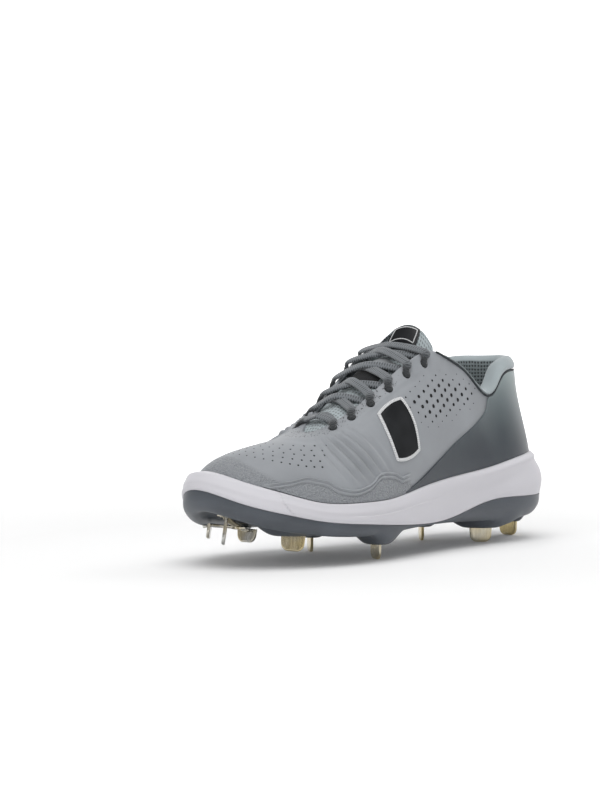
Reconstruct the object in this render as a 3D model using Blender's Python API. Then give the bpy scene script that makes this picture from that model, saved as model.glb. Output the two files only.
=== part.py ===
"""Low baseball cleat with metal spikes, left foot, empty and standing on its spikes.

Row frame: +X towards the toe, +Y towards the outer (lateral) side, +Z up, floor at z = 0,
origin under the middle of the footprint. Lengths are metres.

The shoe is worked out round its outline. A place on it has two numbers:
  station  0 at the middle of the heel, 1 at the tip of the toe along the outer side,
           and on to 2, the heel again, along the inner side
  climb    0 at the feather line where upper and sole meet, 1 at the collar or throat edge
"""

import math

import bmesh
import bpy
import numpy as np
from mathutils import Matrix, Vector
from mathutils.bvhtree import BVHTree

# Driving sizes
SHOE_LENGTH = 0.300
BALL_WIDTH = 0.106
SEAT_HEIGHT = 0.034
HEEL_HEIGHT = 0.076
INSTEP_HEIGHT = 0.0895
UPPER_WALL = 0.0018
EDGE_TURN = 0.020
GAP = 0.0003

# Sole
RIM_WALL = 0.0026
PLATE_THICKNESS = 0.0028
INSOLE_THICKNESS = 0.0042
INSOLE_DISH = 0.013
SPINE_SHARE = 0.84
CORE_INSET = 0.010

# Spikes and their bosses
SPIKE_WIDTH = 0.0150
SPIKE_THICKNESS = 0.0020
SPIKE_DROP = 0.0125
SPIKE_ROOT = 0.0022
SPIKE_CORNER = 0.0042
SPIKE_TAPER = 0.88
SLOT_ROOF = 0.0006
BOSS_TOP_RADIUS = 0.0155
BOSS_FOOT_RADIUS = 0.0100
BOSS_SIDES = 16

# Stamped bracket of the front three spikes
BRACKET_THICKNESS = 0.0014
BRACKET_ARM = 0.0050
BRACKET_HUB = 0.0062

# Overlays, collar and tongue
SKIN = 0.0008
CUFF_PAD = 0.0085
CUFF_LOW_CLIMB = 0.66
CUFF_RISE = 0.0085
CUFF_LAP = 0.0010
CUFF_HEM = 0.0012
TONGUE_THICKNESS = 0.0050
TONGUE_ROOM = 0.0022
TONGUE_CROWN = 0.0002
TONGUE_DIP = 0.0060

# Lacing
EYELET_ROWS = 6
EYELET_RADIUS = 0.0024
EYELET_INSET = 0.0072
EYELET_FIRST_STATION = 0.775
EYELET_LAST_STATION = 0.486
LACE_WIDTH = 0.0058
LACE_THICKNESS = 0.0024
LACE_ARCH = 0.0023
LACE_STACK = 0.0006

# How finely the forms are divided
STATIONS_PER_SIDE = 30
STATION_BUNCHING = 0.35
UPPER_ROWS = 8
LACE_SIDES = 6
LACE_STEPS = 7
TONGUE_COLUMNS = 11

# Feather line: station, x (share of length), outer and inner y (shares of ball width),
# and the seat's height there (share of the heel seat's height)
FEATHER = [
    ("station", "x", "outer", "inner", "seat"),
    (0.000, 0.040, 0.000, 0.000, 1.00),
    (0.078, 0.070, 0.208, -0.208, 1.00),
    (0.157, 0.145, 0.302, -0.302, 1.00),
    (0.270, 0.265, 0.322, -0.300, 0.99),
    (0.395, 0.400, 0.345, -0.285, 0.92),
    (0.522, 0.533, 0.395, -0.335, 0.80),
    (0.649, 0.667, 0.443, -0.425, 0.72),
    (0.743, 0.770, 0.422, -0.440, 0.76),
    (0.838, 0.865, 0.312, -0.375, 0.90),
    (0.918, 0.935, 0.150, -0.250, 1.08),
    (1.000, 0.967, -0.085, -0.085, 1.20),
]

# Collar and throat edge: the height above the heel seat is a share of the heel height
# plus a share of the instep height
TOPLINE = [
    ("station", "x", "outer", "inner", "heel", "instep"),
    (0.000, 0.062, 0.000, 0.000, 1.00, 0.00),
    (0.078, 0.091, 0.138, -0.138, 1.00, 0.00),
    (0.157, 0.145, 0.232, -0.232, 1.00, 0.00),
    (0.200, 0.185, 0.258, -0.258, 0.95, 0.00),
    (0.235, 0.213, 0.268, -0.268, 0.835, 0.00),
    (0.272, 0.245, 0.274, -0.270, 0.80, 0.00),
    (0.335, 0.305, 0.268, -0.258, 0.50, 0.41),
    (0.400, 0.362, 0.250, -0.236, 0.10, 0.86),
    (0.448, 0.404, 0.240, -0.222, 0.00, 1.000),
    (0.500, 0.450, 0.226, -0.200, 0.00, 0.975),
    (0.600, 0.535, 0.190, -0.162, 0.00, 0.810),
    (0.700, 0.615, 0.152, -0.115, 0.00, 0.634),
    (0.780, 0.672, 0.112, -0.070, 0.00, 0.528),
    (0.860, 0.700, 0.070, -0.028, 0.00, 0.486),
    (1.000, 0.708, 0.020, 0.020, 0.00, 0.470),
]

# How a wall line swells between the two edges: it leaves the feather line by lean
# (outwards) and rise (up), and reaches the top edge from reach (outwards) and drop
# (down), all shares of the ball width
SWELL = [
    ("station", "lean", "rise", "reach", "drop"),
    (0.000, 0.030, 0.240, 0.000, 0.230),
    (0.157, 0.045, 0.240, 0.005, 0.240),
    (0.272, 0.055, 0.200, 0.020, 0.180),
    (0.448, 0.060, 0.250, 0.080, 0.230),
    (0.600, 0.060, 0.230, 0.150, 0.130),
    (0.700, 0.055, 0.210, 0.180, 0.105),
    (0.860, 0.040, 0.200, 0.260, 0.070),
    (1.000, 0.020, 0.215, 0.340, 0.075),
]

# Side of the sole: z columns are shares of the heel seat's height, r columns are
# distances out from the feather line as shares of the ball width
SOLE_SIDE = [
    ("station", "rim_z", "bulge_r", "bulge_z", "part_r", "part_z", "foot_r", "foot_z", "base_z"),
    (0.000, 1.66, 0.105, 1.34, 0.080, 0.87, 0.010, 0.50, 0.56),
    (0.157, 1.60, 0.065, 1.28, 0.062, 0.87, 0.005, 0.45, 0.52),
    (0.270, 1.45, 0.050, 1.10, 0.048, 0.86, -0.005, 0.46, 0.52),
    (0.400, 1.33, 0.045, 0.98, 0.036, 0.62, -0.030, 0.50, 0.56),
    (0.520, 1.20, 0.045, 0.90, 0.038, 0.58, -0.030, 0.50, 0.56),
    (0.620, 1.07, 0.048, 0.84, 0.042, 0.64, -0.010, 0.47, 0.52),
    (0.700, 1.05, 0.052, 0.84, 0.048, 0.71, -0.005, 0.48, 0.53),
    (0.790, 1.10, 0.052, 0.90, 0.052, 0.77, 0.000, 0.54, 0.59),
    (0.850, 1.25, 0.050, 1.02, 0.052, 0.90, 0.000, 0.60, 0.65),
    (0.918, 1.45, 0.048, 1.18, 0.052, 1.08, 0.005, 0.70, 0.76),
    (1.000, 1.64, 0.050, 1.36, 0.056, 1.29, 0.010, 0.82, 0.90),
]

# Spikes in bosses: x (share of length), y (share of ball width), what sets the height
# (the floor it stands on, or the plate it hangs from), turn about Z and pitch with the
# toe spring in degrees, and the boss's width as a share of the full one
SPIKES = [
    ("name", "x", "y", "from", "turn", "pitch", "boss"),
    ("fore_outer", 0.815, 0.180, "plate", 128, 7, 0.60),
    ("ball_inner", 0.595, -0.250, "floor", 52, 0, 1.00),
    ("ball_outer", 0.620, 0.315, "floor", 62, 0, 1.00),
    ("heel_inner", 0.266, -0.180, "floor", 48, 0, 1.00),
    ("heel_outer", 0.215, 0.165, "floor", 130, 0, 1.00),
    ("heel_rear", 0.052, 0.020, "floor", 88, 0, 0.60),
]

# Three linked front spikes, in one pressing: place and turn as above, and the lift of
# the foot above the floor (share of the spike's drop)
LINKED_SPIKES = [
    ("name", "x", "y", "lift", "turn", "pitch"),
    ("toe_inner", 0.900, -0.235, 1.20, 40, 12),
    ("toe_outer", 0.925, -0.050, 1.05, 42, 12),
    ("fore_inner", 0.780, -0.265, 0.78, 92, 7),
]
BRACKET_HUB_PLACE = (0.845, -0.130)

# Front edge of the heel counter: station, share of the way up from sole to collar
COUNTER_TOP = [
    ("station", "up"),
    (0.000, 0.985),
    (0.262, 0.985),
    (0.282, 0.740),
    (0.335, 0.423),
    (0.400, 0.259),
    (0.460, 0.138),
    (0.525, 0.047),
    (0.570, 0.012),
]

# Top of the side rands: station, share of the way up from sole to collar
RAND_TOP = [
    ("station", "up"),
    (0.585, 0.140),
    (0.620, 0.205),
    (0.650, 0.225),
    (0.682, 0.150),
    (0.715, 0.123),
    (0.750, 0.155),
    (0.785, 0.230),
    (0.815, 0.240),
    (0.855, 0.140),
    (0.895, 0.030),
]

# Saddle band from the eyestay to the sole: share of the way up, front and rear station
SADDLE = [
    ("up", "front", "rear"),
    (0.250, 0.606, 0.516),
    (0.450, 0.624, 0.534),
    (0.740, 0.655, 0.570),
]

# Padded collar: station, pad and rise as shares of their named sizes
CUFF = [
    ("station", "pad", "rise"),
    (0.000, 0.80, 1.00),
    (0.157, 0.85, 0.92),
    (0.200, 1.00, 0.85),
    (0.240, 1.00, 0.60),
    (0.272, 0.95, 0.42),
    (0.335, 0.60, 0.22),
    (0.405, 0.35, 0.16),
]

# Free top of the tongue: x (share of length), y (share of ball width), height above the
# heel seat (share of instep height)
TONGUE_TOP = [
    ("place", "x", "y", "rise"),
    ("outer", 0.387, 0.212, 1.040),
    ("crown", 0.400, 0.045, 1.180),
    ("inner", 0.422, -0.142, 1.055),
]

# Pieces worn on the tongue: first and last run along it (0 at the top eyelets, 1 at its
# top edge, below 0 under the laces), and half width as a share of the tongue's own
TONGUE_PATCHES = [
    ("name", "first", "last", "half", "finish"),
    ("tongue_tag", 0.36, 0.94, 0.46, "black_film"),
    ("lace_keeper", -0.62, -0.34, 0.42, "black_film"),
]

COLOURS = {
    "grey_synthetic": ((0.42, 0.44, 0.46), 0.48, 0.0),
    "dark_grey_skin": ((0.10, 0.125, 0.14), 0.45, 0.0),
    "knit_grey": ((0.36, 0.40, 0.41), 0.85, 0.0),
    "white_foam": ((0.84, 0.83, 0.86), 0.55, 0.0),
    "plate_grey": ((0.09, 0.10, 0.115), 0.40, 0.0),
    "lace_grey": ((0.12, 0.13, 0.145), 0.80, 0.0),
    "black_film": ((0.012, 0.013, 0.015), 0.30, 0.0),
    "plated_steel": ((0.72, 0.64, 0.46), 0.25, 1.0),
    "insole_grey": ((0.20, 0.21, 0.22), 0.80, 0.0),
}


def table(rows):
    """A table's columns by name, as arrays."""
    head, body = rows[0], rows[1:]
    return {name: np.array([row[i] for row in body]) for i, name in enumerate(head)}


def periodic_spline(knots, values, period, at):
    """A smooth closed curve through values at knots: a cubic spline whose slope and
    curvature also match where the end meets the start."""
    t = np.append(knots, knots[0] + period)
    y = np.append(values, values[:1])
    n = len(knots)
    step = np.diff(t)
    rise = np.diff(y) / step
    system = np.zeros((n, n))
    right = np.zeros(n)
    for i in range(n):
        before = step[i - 1]
        system[i, i - 1] += before
        system[i, i] += 2 * (before + step[i])
        system[i, (i + 1) % n] += step[i]
        right[i] = 6 * (rise[i] - rise[i - 1])
    bend = np.linalg.solve(system, right)
    bend = np.append(bend, bend[0])
    s = np.mod(np.asarray(at, float) - t[0], period) + t[0]
    i = np.clip(np.searchsorted(t, s, side="right") - 1, 0, n - 1)
    a = (t[i + 1] - s) / step[i]
    b = (s - t[i]) / step[i]
    curved = ((a**3 - a) * bend[i] + (b**3 - b) * bend[i + 1]) * step[i] ** 2 / 6
    return a * y[i] + b * y[i + 1] + curved


def around(rows, outer, inner, station):
    """A table column carried round the shoe. The outer side reads one column and the
    inner side the other, and the two meet at heel and toe."""
    columns = table(rows)
    knots = columns["station"]
    back = 2 - knots[-2:0:-1]
    values = np.concatenate([columns[outer], columns[inner][-2:0:-1]])
    return periodic_spline(np.concatenate([knots, back]), values, 2.0, station)


def fold(station):
    """The station on the outer side that stands opposite, for forms alike on both."""
    s = np.mod(np.asarray(station, float), 2.0)
    return np.where(s > 1, 2 - s, s)


def along(rows, column, at):
    """A short open table read as a smooth line through its rows, without overshoot."""
    columns = table(rows)
    knots = columns[rows[0][0]]
    values = columns[column]
    rise = np.diff(values) / np.diff(knots)
    before, after = rise[:-1], rise[1:]
    level = 2 * before * after / np.where(before + after == 0, 1, before + after)
    slope = np.concatenate([rise[:1], np.where(before * after > 0, level, 0), rise[-1:]])
    s = np.clip(np.asarray(at, float), knots[0], knots[-1])
    i = np.clip(np.searchsorted(knots, s, side="right") - 1, 0, len(knots) - 2)
    width = knots[i + 1] - knots[i]
    u = (s - knots[i]) / width
    start = (1 + 2 * u) * (1 - u) ** 2 * values[i] + u * (1 - u) ** 2 * width * slope[i]
    end = u * u * (3 - 2 * u) * values[i + 1] - u * u * (1 - u) * width * slope[i + 1]
    return start + end


def seat_height(station):
    """Height of the sole's footbed at the feather line."""
    return around(FEATHER, "seat", "seat", station) * SEAT_HEIGHT


def feather_point(station):
    """Bottom edge of the upper's outer face."""
    x = around(FEATHER, "x", "x", station) * SHOE_LENGTH
    y = around(FEATHER, "outer", "inner", station) * BALL_WIDTH
    return np.stack([x, y, seat_height(station) + GAP], -1)


def topline_point(station):
    """Top edge of the upper: the collar, and the throat down to its foot."""
    x = around(TOPLINE, "x", "x", station) * SHOE_LENGTH
    y = around(TOPLINE, "outer", "inner", station) * BALL_WIDTH
    heel = around(TOPLINE, "heel", "heel", station) * HEEL_HEIGHT
    instep = around(TOPLINE, "instep", "instep", station) * INSTEP_HEIGHT
    return np.stack([x, y, SEAT_HEIGHT + heel + instep], -1)


def unit(vectors):
    """Vectors at length one."""
    return vectors / np.maximum(np.linalg.norm(vectors, axis=-1, keepdims=True), 1e-9)


def outline_normal(station):
    """Horizontal direction out of the feather line."""
    small = 1e-3
    run = feather_point(np.asarray(station) + small) - feather_point(np.asarray(station) - small)
    flat = np.stack([run[..., 1], -run[..., 0], np.zeros_like(run[..., 0])], -1)
    return -unit(flat)


def wall_point(station, climb):
    """A point of the upper's outer face: a cubic arc from feather line to top edge."""
    station, climb = np.broadcast_arrays(np.asarray(station, float), np.asarray(climb, float))
    low, high = feather_point(station), topline_point(station)
    normal = outline_normal(station)
    span = high - low
    across = -span * [1, 1, 0]
    outward = unit(across + normal * EDGE_TURN)
    side = fold(station)
    lean, rise, reach, drop = (
        around(SWELL, name, name, side)[..., None] * BALL_WIDTH
        for name in ("lean", "rise", "reach", "drop")
    )
    up = np.array([0.0, 0.0, 1.0])
    near_low = low + normal * lean + up * rise
    near_high = high + outward * reach - up * drop
    t = climb[..., None]
    return (
        low * (1 - t) ** 3
        + near_low * 3 * t * (1 - t) ** 2
        + near_high * 3 * t * t * (1 - t)
        + high * t**3
    )


def wall_normal(station, climb):
    """Direction out of the upper's outer face."""
    small = 2e-3
    low = np.clip(np.asarray(climb, float) - small, 0, 1)
    high = np.clip(np.asarray(climb, float) + small, 0, 1)
    up = wall_point(station, high) - wall_point(station, low)
    run = wall_point(np.asarray(station) + small, climb) - wall_point(np.asarray(station) - small, climb)
    return unit(np.cross(up, run))


def upper_point(station, climb, out=0.0):
    """A point at a distance out from the upper's outer face, or in, if out is negative."""
    shift = np.asarray(out, float)[..., None]
    return wall_point(station, climb) + wall_normal(station, climb) * shift


def climb_at_height(station, height):
    """How far up the wall a given height is met, found by halving."""
    low = np.zeros_like(np.asarray(station, float))
    high = np.full_like(low, 0.75)
    for _ in range(24):
        middle = (low + high) / 2
        below = wall_point(station, middle)[..., 2] < height
        low = np.where(below, middle, low)
        high = np.where(below, high, middle)
    return (low + high) / 2


def sole_column(name, station):
    """A column of the sole's side table, round the shoe."""
    return around(SOLE_SIDE, name, name, fold(station))


def rim_height(station):
    """Height of the midsole's rim."""
    return sole_column("rim_z", station) * SEAT_HEIGHT


def sole_point(station, r_name, z_name):
    """A point of the sole's side, out from the feather line."""
    base = feather_point(station)
    out = base + outline_normal(station) * (sole_column(r_name, station) * BALL_WIDTH)[..., None]
    out[..., 2] = sole_column(z_name, station) * SEAT_HEIGHT
    return out


def spine_point(station, height):
    """The point of the shoe's middle line that a station's cross-section ends on."""
    side = fold(station)
    middle = (feather_point(side) + feather_point(2 - side)) / 2
    every = np.linspace(0, 1, 101)
    line = (feather_point(every) + feather_point(2 - every)) / 2
    centre = SHOE_LENGTH / 2
    x = centre + (middle[..., 0] - centre) * SPINE_SHARE
    y = (np.interp(x, line[:, 0], line[:, 1]) + middle[..., 1]) / 2
    return np.stack([x, y, height], -1)


def towards_spine(station, distance, height):
    """Points in from the feather line, along the cross-section to the spine."""
    start, end = feather_point(station), spine_point(station, height)
    flat = (end - start) * [1, 1, 0]
    moved = start + unit(flat) * distance
    moved[..., 2] = height
    return moved


def pull_in(points, station, distance):
    """Points moved in from the outline."""
    return points - outline_normal(station) * distance


def stations():
    """The stations of every piece that runs round the shoe, closer at heel and toe."""
    even = np.linspace(0, 2, 2 * STATIONS_PER_SIDE, endpoint=False)
    return even - STATION_BUNCHING * np.sin(2 * np.pi * even) / (2 * np.pi)


def stations_between(first, last):
    """Those of the same stations that lie between two, heel at 0, inner side below 0."""
    every = stations()
    every = np.sort(np.where(every > 1 + 1e-9, every - 2, every))
    every = np.unique(np.round(np.concatenate([every, [first, last]]), 6))
    inside = every[(every >= first - 1e-9) & (every <= last + 1e-9)]
    close = np.diff(inside) < 0.004
    keep = np.ones(len(inside), bool)
    keep[1:-1] = ~close[:-1][: len(inside) - 2]
    return inside[keep]


def plate_top_height(station):
    """Height of the meeting of midsole and plate, under the foot."""
    return sole_column("base_z", station) * SEAT_HEIGHT + PLATE_THICKNESS


def material(name):
    """A plain finish by name, made once."""
    found = bpy.data.materials.get(name)
    if found:
        return found
    made = bpy.data.materials.new(name)
    made.use_nodes = True
    shader = made.node_tree.nodes["Principled BSDF"]
    colour, roughness, metallic = COLOURS[name]
    shader.inputs["Base Color"].default_value = (*colour, 1)
    shader.inputs["Roughness"].default_value = roughness
    shader.inputs["Metallic"].default_value = metallic
    made.diffuse_color = (*colour, 1)
    return made


def collection(name):
    """A collection of the scene by name, made once."""
    found = bpy.data.collections.get(name)
    if not found:
        found = bpy.data.collections.new(name)
        bpy.context.scene.collection.children.link(found)
    return found


def finish(name, mesh_edit, finish_name, smooth=40):
    """A closed mesh becomes a named part with its faces pointing out."""
    bmesh.ops.remove_doubles(mesh_edit, verts=mesh_edit.verts, dist=1e-6)
    bmesh.ops.recalc_face_normals(mesh_edit, faces=mesh_edit.faces)
    mesh = bpy.data.meshes.new(name)
    mesh_edit.to_mesh(mesh)
    mesh_edit.free()
    mesh.shade_smooth()
    mesh.set_sharp_from_angle(angle=math.radians(smooth))
    mesh.materials.append(material(finish_name))
    part = bpy.data.objects.new(name, mesh)
    collection("baseball_cleat").objects.link(part)
    return part


def loft(sections, ring_closed, caps):
    """A mesh through sections, an array (section, point, xyz). ring_closed joins the last
    section to the first. caps closes each end section with one face; without caps each
    section is an open line, or a loop whose ends are the same place."""
    made = bmesh.new()
    rows = [[made.verts.new(point) for point in section] for section in sections]
    loop = caps or ring_closed == "torus"
    count = len(rows[0])
    for i in range(len(rows) if ring_closed else len(rows) - 1):
        one, two = rows[i], rows[(i + 1) % len(rows)]
        for j in range(count if loop else count - 1):
            k = (j + 1) % count
            made.faces.new((one[j], two[j], two[k], one[k]))
    if caps:
        made.faces.new(rows[0])
        made.faces.new(rows[-1][::-1])
    return made


def slab(profile):
    """A form round the whole outline whose sections all start and end on the spine. Its
    quads are split one way, so that slabs that lie on each other stay parallel."""
    made = loft(profile, True, False)
    corners = [[loop.vert for loop in face.loops] for face in made.faces]
    bmesh.ops.delete(made, geom=list(made.faces), context="FACES_ONLY")
    for first, second, third, fourth in corners:
        made.faces.new((first, second, third))
        made.faces.new((first, third, fourth))
    bmesh.ops.remove_doubles(made, verts=made.verts, dist=1e-6)
    flat = [face for face in made.faces if face.calc_area() < 1e-12]
    bmesh.ops.delete(made, geom=flat, context="FACES")
    return made


def apply_boolean(part, cutter, operation):
    """Cuts or joins with another object and keeps the result as the part's own mesh."""
    step = part.modifiers.new(operation.lower(), "BOOLEAN")
    step.object = cutter
    step.operation = operation
    step.solver = "EXACT"
    bpy.context.view_layer.update()
    evaluated = part.evaluated_get(bpy.context.evaluated_depsgraph_get())
    mesh = bpy.data.meshes.new_from_object(evaluated)
    part.modifiers.remove(step)
    old = part.data
    part.data = mesh
    bpy.data.meshes.remove(old)


def as_cutter(made, name):
    """A helper form, kept out of the part in its own collection."""
    bmesh.ops.recalc_face_normals(made, faces=made.faces)
    mesh = bpy.data.meshes.new(name)
    made.to_mesh(mesh)
    made.free()
    cutter = bpy.data.objects.new(name, mesh)
    cutter.hide_render = True
    cutter.display_type = "WIRE"
    collection("cutters").objects.link(cutter)
    return cutter


def thin_shell(name, grid_out, grid_in, finish_name):
    """A closed skin between two grids (row, column, xyz) that lie one above the other."""
    sections = np.concatenate([grid_out, grid_in[:, ::-1]], axis=1)
    return finish(name, loft(sections, False, True), finish_name)


def make_upper():
    """Hollow upper, open at the collar, the throat and underneath, with its eyelets cut."""
    s = stations()[:, None]
    climb = np.linspace(0, 1, UPPER_ROWS + 1)[None, :]
    s, climb = np.broadcast_arrays(s, climb)
    outer = upper_point(s, climb)
    inner = upper_point(s, climb, np.full(s.shape, -UPPER_WALL))
    inner[:, 0, 2] = outer[:, 0, 2]
    sections = np.concatenate([outer, inner[:, ::-1]], axis=1)
    upper = finish("upper", loft(sections, "torus", False), "grey_synthetic")
    cutters = bmesh.new()
    for side in (1, -1):
        for row in range(EYELET_ROWS):
            centre, normal = eyelet(row, side)
            turn = Vector(normal).to_track_quat("Z", "Y").to_matrix().to_4x4()
            bmesh.ops.create_cone(
                cutters, cap_ends=True, segments=8, radius1=EYELET_RADIUS,
                radius2=EYELET_RADIUS, depth=8 * UPPER_WALL,
                matrix=Matrix.Translation(centre) @ turn,
            )
    apply_boolean(upper, as_cutter(cutters, "eyelet_cutters"), "DIFFERENCE")
    return upper


def side_station(station, side):
    """A station of the outer side, or the one opposite it on the inner side."""
    return station if side > 0 else 2 - station


def eyelet_station(row):
    """Station of an eyelet row, from the foot of the throat up."""
    share = row / (EYELET_ROWS - 1)
    return EYELET_FIRST_STATION + (EYELET_LAST_STATION - EYELET_FIRST_STATION) * share


def climb_from_edge(station, distance):
    """The climb at a distance down the wall from the top edge."""
    climb = 1.0
    place = wall_point(station, climb)
    step = 0.004
    walked = 0.0
    while walked < distance and climb > 0.2:
        climb -= step
        following = wall_point(station, climb)
        walked += float(np.linalg.norm(following - place))
        place = following
    return climb


def eyelet(row, side):
    """Centre of an eyelet on the upper's outer face, and the direction out of it."""
    station = side_station(eyelet_station(row), side)
    climb = climb_from_edge(station, EYELET_INSET)
    return wall_point(station, climb), wall_normal(station, climb)


def make_midsole():
    """White foam cup: footbed, rim round the upper, and the seam with the plate."""
    s = stations()
    rim = climb_at_height(s, rim_height(s))
    inner = [upper_point(s, rim * share, np.full(s.shape, GAP)) for share in (0, 0.33, 0.66, 1)]
    inner[0][:, 2] = seat_height(s)
    rim_out = inner[3] + outline_normal(s) * RIM_WALL
    shoulder = rim_out + outline_normal(s) * RIM_WALL * 0.4
    shoulder[:, 2] -= RIM_WALL
    bulge = sole_point(s, "bulge_r", "bulge_z")
    part_line = sole_point(s, "part_r", "part_z")
    high_side = bulge * 0.5 + shoulder * 0.5 + outline_normal(s) * RIM_WALL * 0.35
    low_side = (bulge + part_line) / 2 + outline_normal(s) * RIM_WALL * 0.35
    core = pull_in(feather_point(s), s, CORE_INSET)
    core[:, 2] = plate_top_height(s)
    bottom = spine_point(s, plate_top_height(s))
    top = spine_point(s, seat_height(s))
    profile = [bottom, core, part_line, low_side, bulge, high_side, shoulder, rim_out]
    profile += inner[::-1] + [top]
    return finish("midsole", slab(np.stack(profile, 1)), "white_foam")


def make_outsole():
    """Moulded plate under the foam, with a boss and a slot for each spike."""
    s = stations()
    part_line = sole_point(s, "part_r", "part_z")
    part_line[:, 2] -= GAP
    foot = sole_point(s, "foot_r", "foot_z")
    side = part_line * 0.45 + foot * 0.55 + outline_normal(s) * RIM_WALL
    core = pull_in(feather_point(s), s, CORE_INSET)
    core[:, 2] = plate_top_height(s) - GAP
    core_low = core * 1.0
    core_low[:, 2] -= PLATE_THICKNESS
    top = spine_point(s, plate_top_height(s) - GAP)
    bottom = spine_point(s, plate_top_height(s) - GAP - PLATE_THICKNESS)
    profile = np.stack([top, core, part_line, side, foot, core_low, bottom], 1)
    plate = finish("outsole_plate", slab(profile), "plate_grey")
    for spike in spikes(SPIKES):
        apply_boolean(plate, as_cutter(boss_form(spike), "boss_" + spike["name"]), "UNION")
    for spike in spikes(SPIKES):
        apply_boolean(plate, as_cutter(slot_form(spike), "slot_" + spike["name"]), "DIFFERENCE")
    plate.data.materials.clear()
    plate.data.materials.append(material("plate_grey"))
    return plate


def nearest_station(x, y):
    """The station on the side of y whose cross-section passes a place under the foot."""
    side = 1 if y >= spine_point(np.array([0.5]), np.zeros(1))[0, 1] else -1
    every = side_station(np.linspace(0, 1, 201), side)
    start = spine_point(every, np.zeros(201))[:, :2]
    run = feather_point(every)[:, :2] - start
    to = np.array([x, y]) - start
    share = np.clip((to * run).sum(1) / (run * run).sum(1), 0, 1)
    return float(every[np.argmin(np.linalg.norm(to - run * share[:, None], axis=1))])


def spikes(rows):
    """The spikes of a table as dictionaries, with their real places."""
    found = []
    for row in rows[1:]:
        spike = dict(zip(rows[0], row))
        x, y = spike["x"] * SHOE_LENGTH, spike["y"] * BALL_WIDTH
        spike["station"] = nearest_station(x, y)
        height = spike.get("lift", 0.0) * SPIKE_DROP
        if spike.get("from") == "plate":
            top = float(plate_top_height(np.array([spike["station"]]))[0])
            height = top - 2 * GAP - SLOT_ROOF - SPIKE_ROOT - SPIKE_DROP
        turn = Matrix.Rotation(math.radians(-spike["pitch"]), 4, "Y")
        turn = turn @ Matrix.Rotation(math.radians(spike["turn"]), 4, "Z")
        spike["place"] = Matrix.Translation((x, y, height)) @ turn
        found.append(spike)
    return found


def boss_form(spike):
    """Tapered boss from inside the plate down to the top of the spike's bare length."""
    top = float(plate_top_height(np.array([spike["station"]]))[0]) - GAP - PLATE_THICKNESS * 0.75
    foot = spike["place"].to_translation()
    height = top - foot.z - SPIKE_DROP
    made = bmesh.new()
    bmesh.ops.create_cone(
        made, cap_ends=True, segments=BOSS_SIDES, radius1=BOSS_FOOT_RADIUS * spike["boss"],
        radius2=BOSS_TOP_RADIUS * spike["boss"], depth=height,
        matrix=Matrix.Translation((foot.x, foot.y, foot.z + SPIKE_DROP + height / 2)),
    )
    return made


def slot_form(spike):
    """Slot in the boss that the spike's root sits in, with its clearance."""
    made = bmesh.new()
    depth = 2 * SPIKE_ROOT
    size = (SPIKE_WIDTH + 2 * GAP, SPIKE_THICKNESS + 2 * GAP, depth + 2 * GAP)
    bmesh.ops.create_cube(made, size=1.0, matrix=Matrix.Diagonal((*size, 1)))
    bmesh.ops.transform(
        made, matrix=spike["place"] @ Matrix.Translation((0, 0, SPIKE_DROP)), verts=made.verts
    )
    return made


def spike_form(height):
    """A flat steel blade standing on its foot, with round lower corners."""
    made = bmesh.new()
    size = (SPIKE_WIDTH, SPIKE_THICKNESS, height)
    centre = Matrix.Translation((0, 0, height / 2))
    bmesh.ops.create_cube(made, size=1.0, matrix=centre @ Matrix.Diagonal((*size, 1)))
    for vert in made.verts:
        if vert.co.z < height / 2:
            vert.co.x *= SPIKE_TAPER
    low = [
        edge for edge in made.edges
        if all(vert.co.z < height / 2 for vert in edge.verts)
        and abs(edge.verts[0].co.x - edge.verts[1].co.x) < 1e-6
    ]
    bmesh.ops.bevel(made, geom=low, offset=SPIKE_CORNER, segments=4, profile=0.5, affect="EDGES")
    return made


def make_spike(spike):
    """Steel spike with its root in the boss's slot."""
    blade = spike_form(SPIKE_DROP + SPIKE_ROOT)
    bmesh.ops.transform(blade, matrix=spike["place"], verts=blade.verts)
    return finish("spike_" + spike["name"], blade, "plated_steel", smooth=25)


def make_insole():
    """Sockliner on the footbed, just inside the upper, its edge a little raised."""
    s = stations()
    bed = seat_height(s) + 1.5 * GAP
    under = towards_spine(s, UPPER_WALL + 6 * GAP, bed)
    clear = -np.full(s.shape, UPPER_WALL + 4 * GAP)
    lip = upper_point(s, climb_at_height(s, seat_height(s) + 1.6 * INSOLE_THICKNESS), clear)
    low = upper_point(s, climb_at_height(s, seat_height(s) + 0.5 * INSOLE_THICKNESS), clear)
    flat = towards_spine(s, INSOLE_DISH, bed + INSOLE_THICKNESS)
    bottom = spine_point(s, bed)
    top = spine_point(s, bed + INSOLE_THICKNESS)
    profile = np.stack([top, flat, lip, low, under, bottom], 1)
    return finish("insole", slab(profile), "insole_grey")


def above_rim(station):
    """The climb that clears the midsole's rim."""
    return climb_at_height(station, rim_height(station) + 3 * GAP)


def overlay(name, station, up, finish_name):
    """A skin laid on the upper over a grid of stations and shares of the way up."""
    low = above_rim(station)
    climb = low + (1 - low) * up
    far = np.full(station.shape, 1.5 * GAP)
    outer = upper_point(station, climb, far + SKIN)
    inner = upper_point(station, climb, far)
    return thin_shell(name, outer, inner, finish_name)


def make_heel_counter():
    """Dark skin round the heel, its front edge slanting down to the arch."""
    last = COUNTER_TOP[-1][0]
    s = stations_between(-last, last)
    top = along(COUNTER_TOP, "up", abs(s))
    share = np.linspace(0, 1, 7)
    station = np.mod(np.repeat(s[:, None], len(share), 1), 2.0)
    return overlay("heel_counter", station, top[:, None] * share, "dark_grey_skin")


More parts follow.
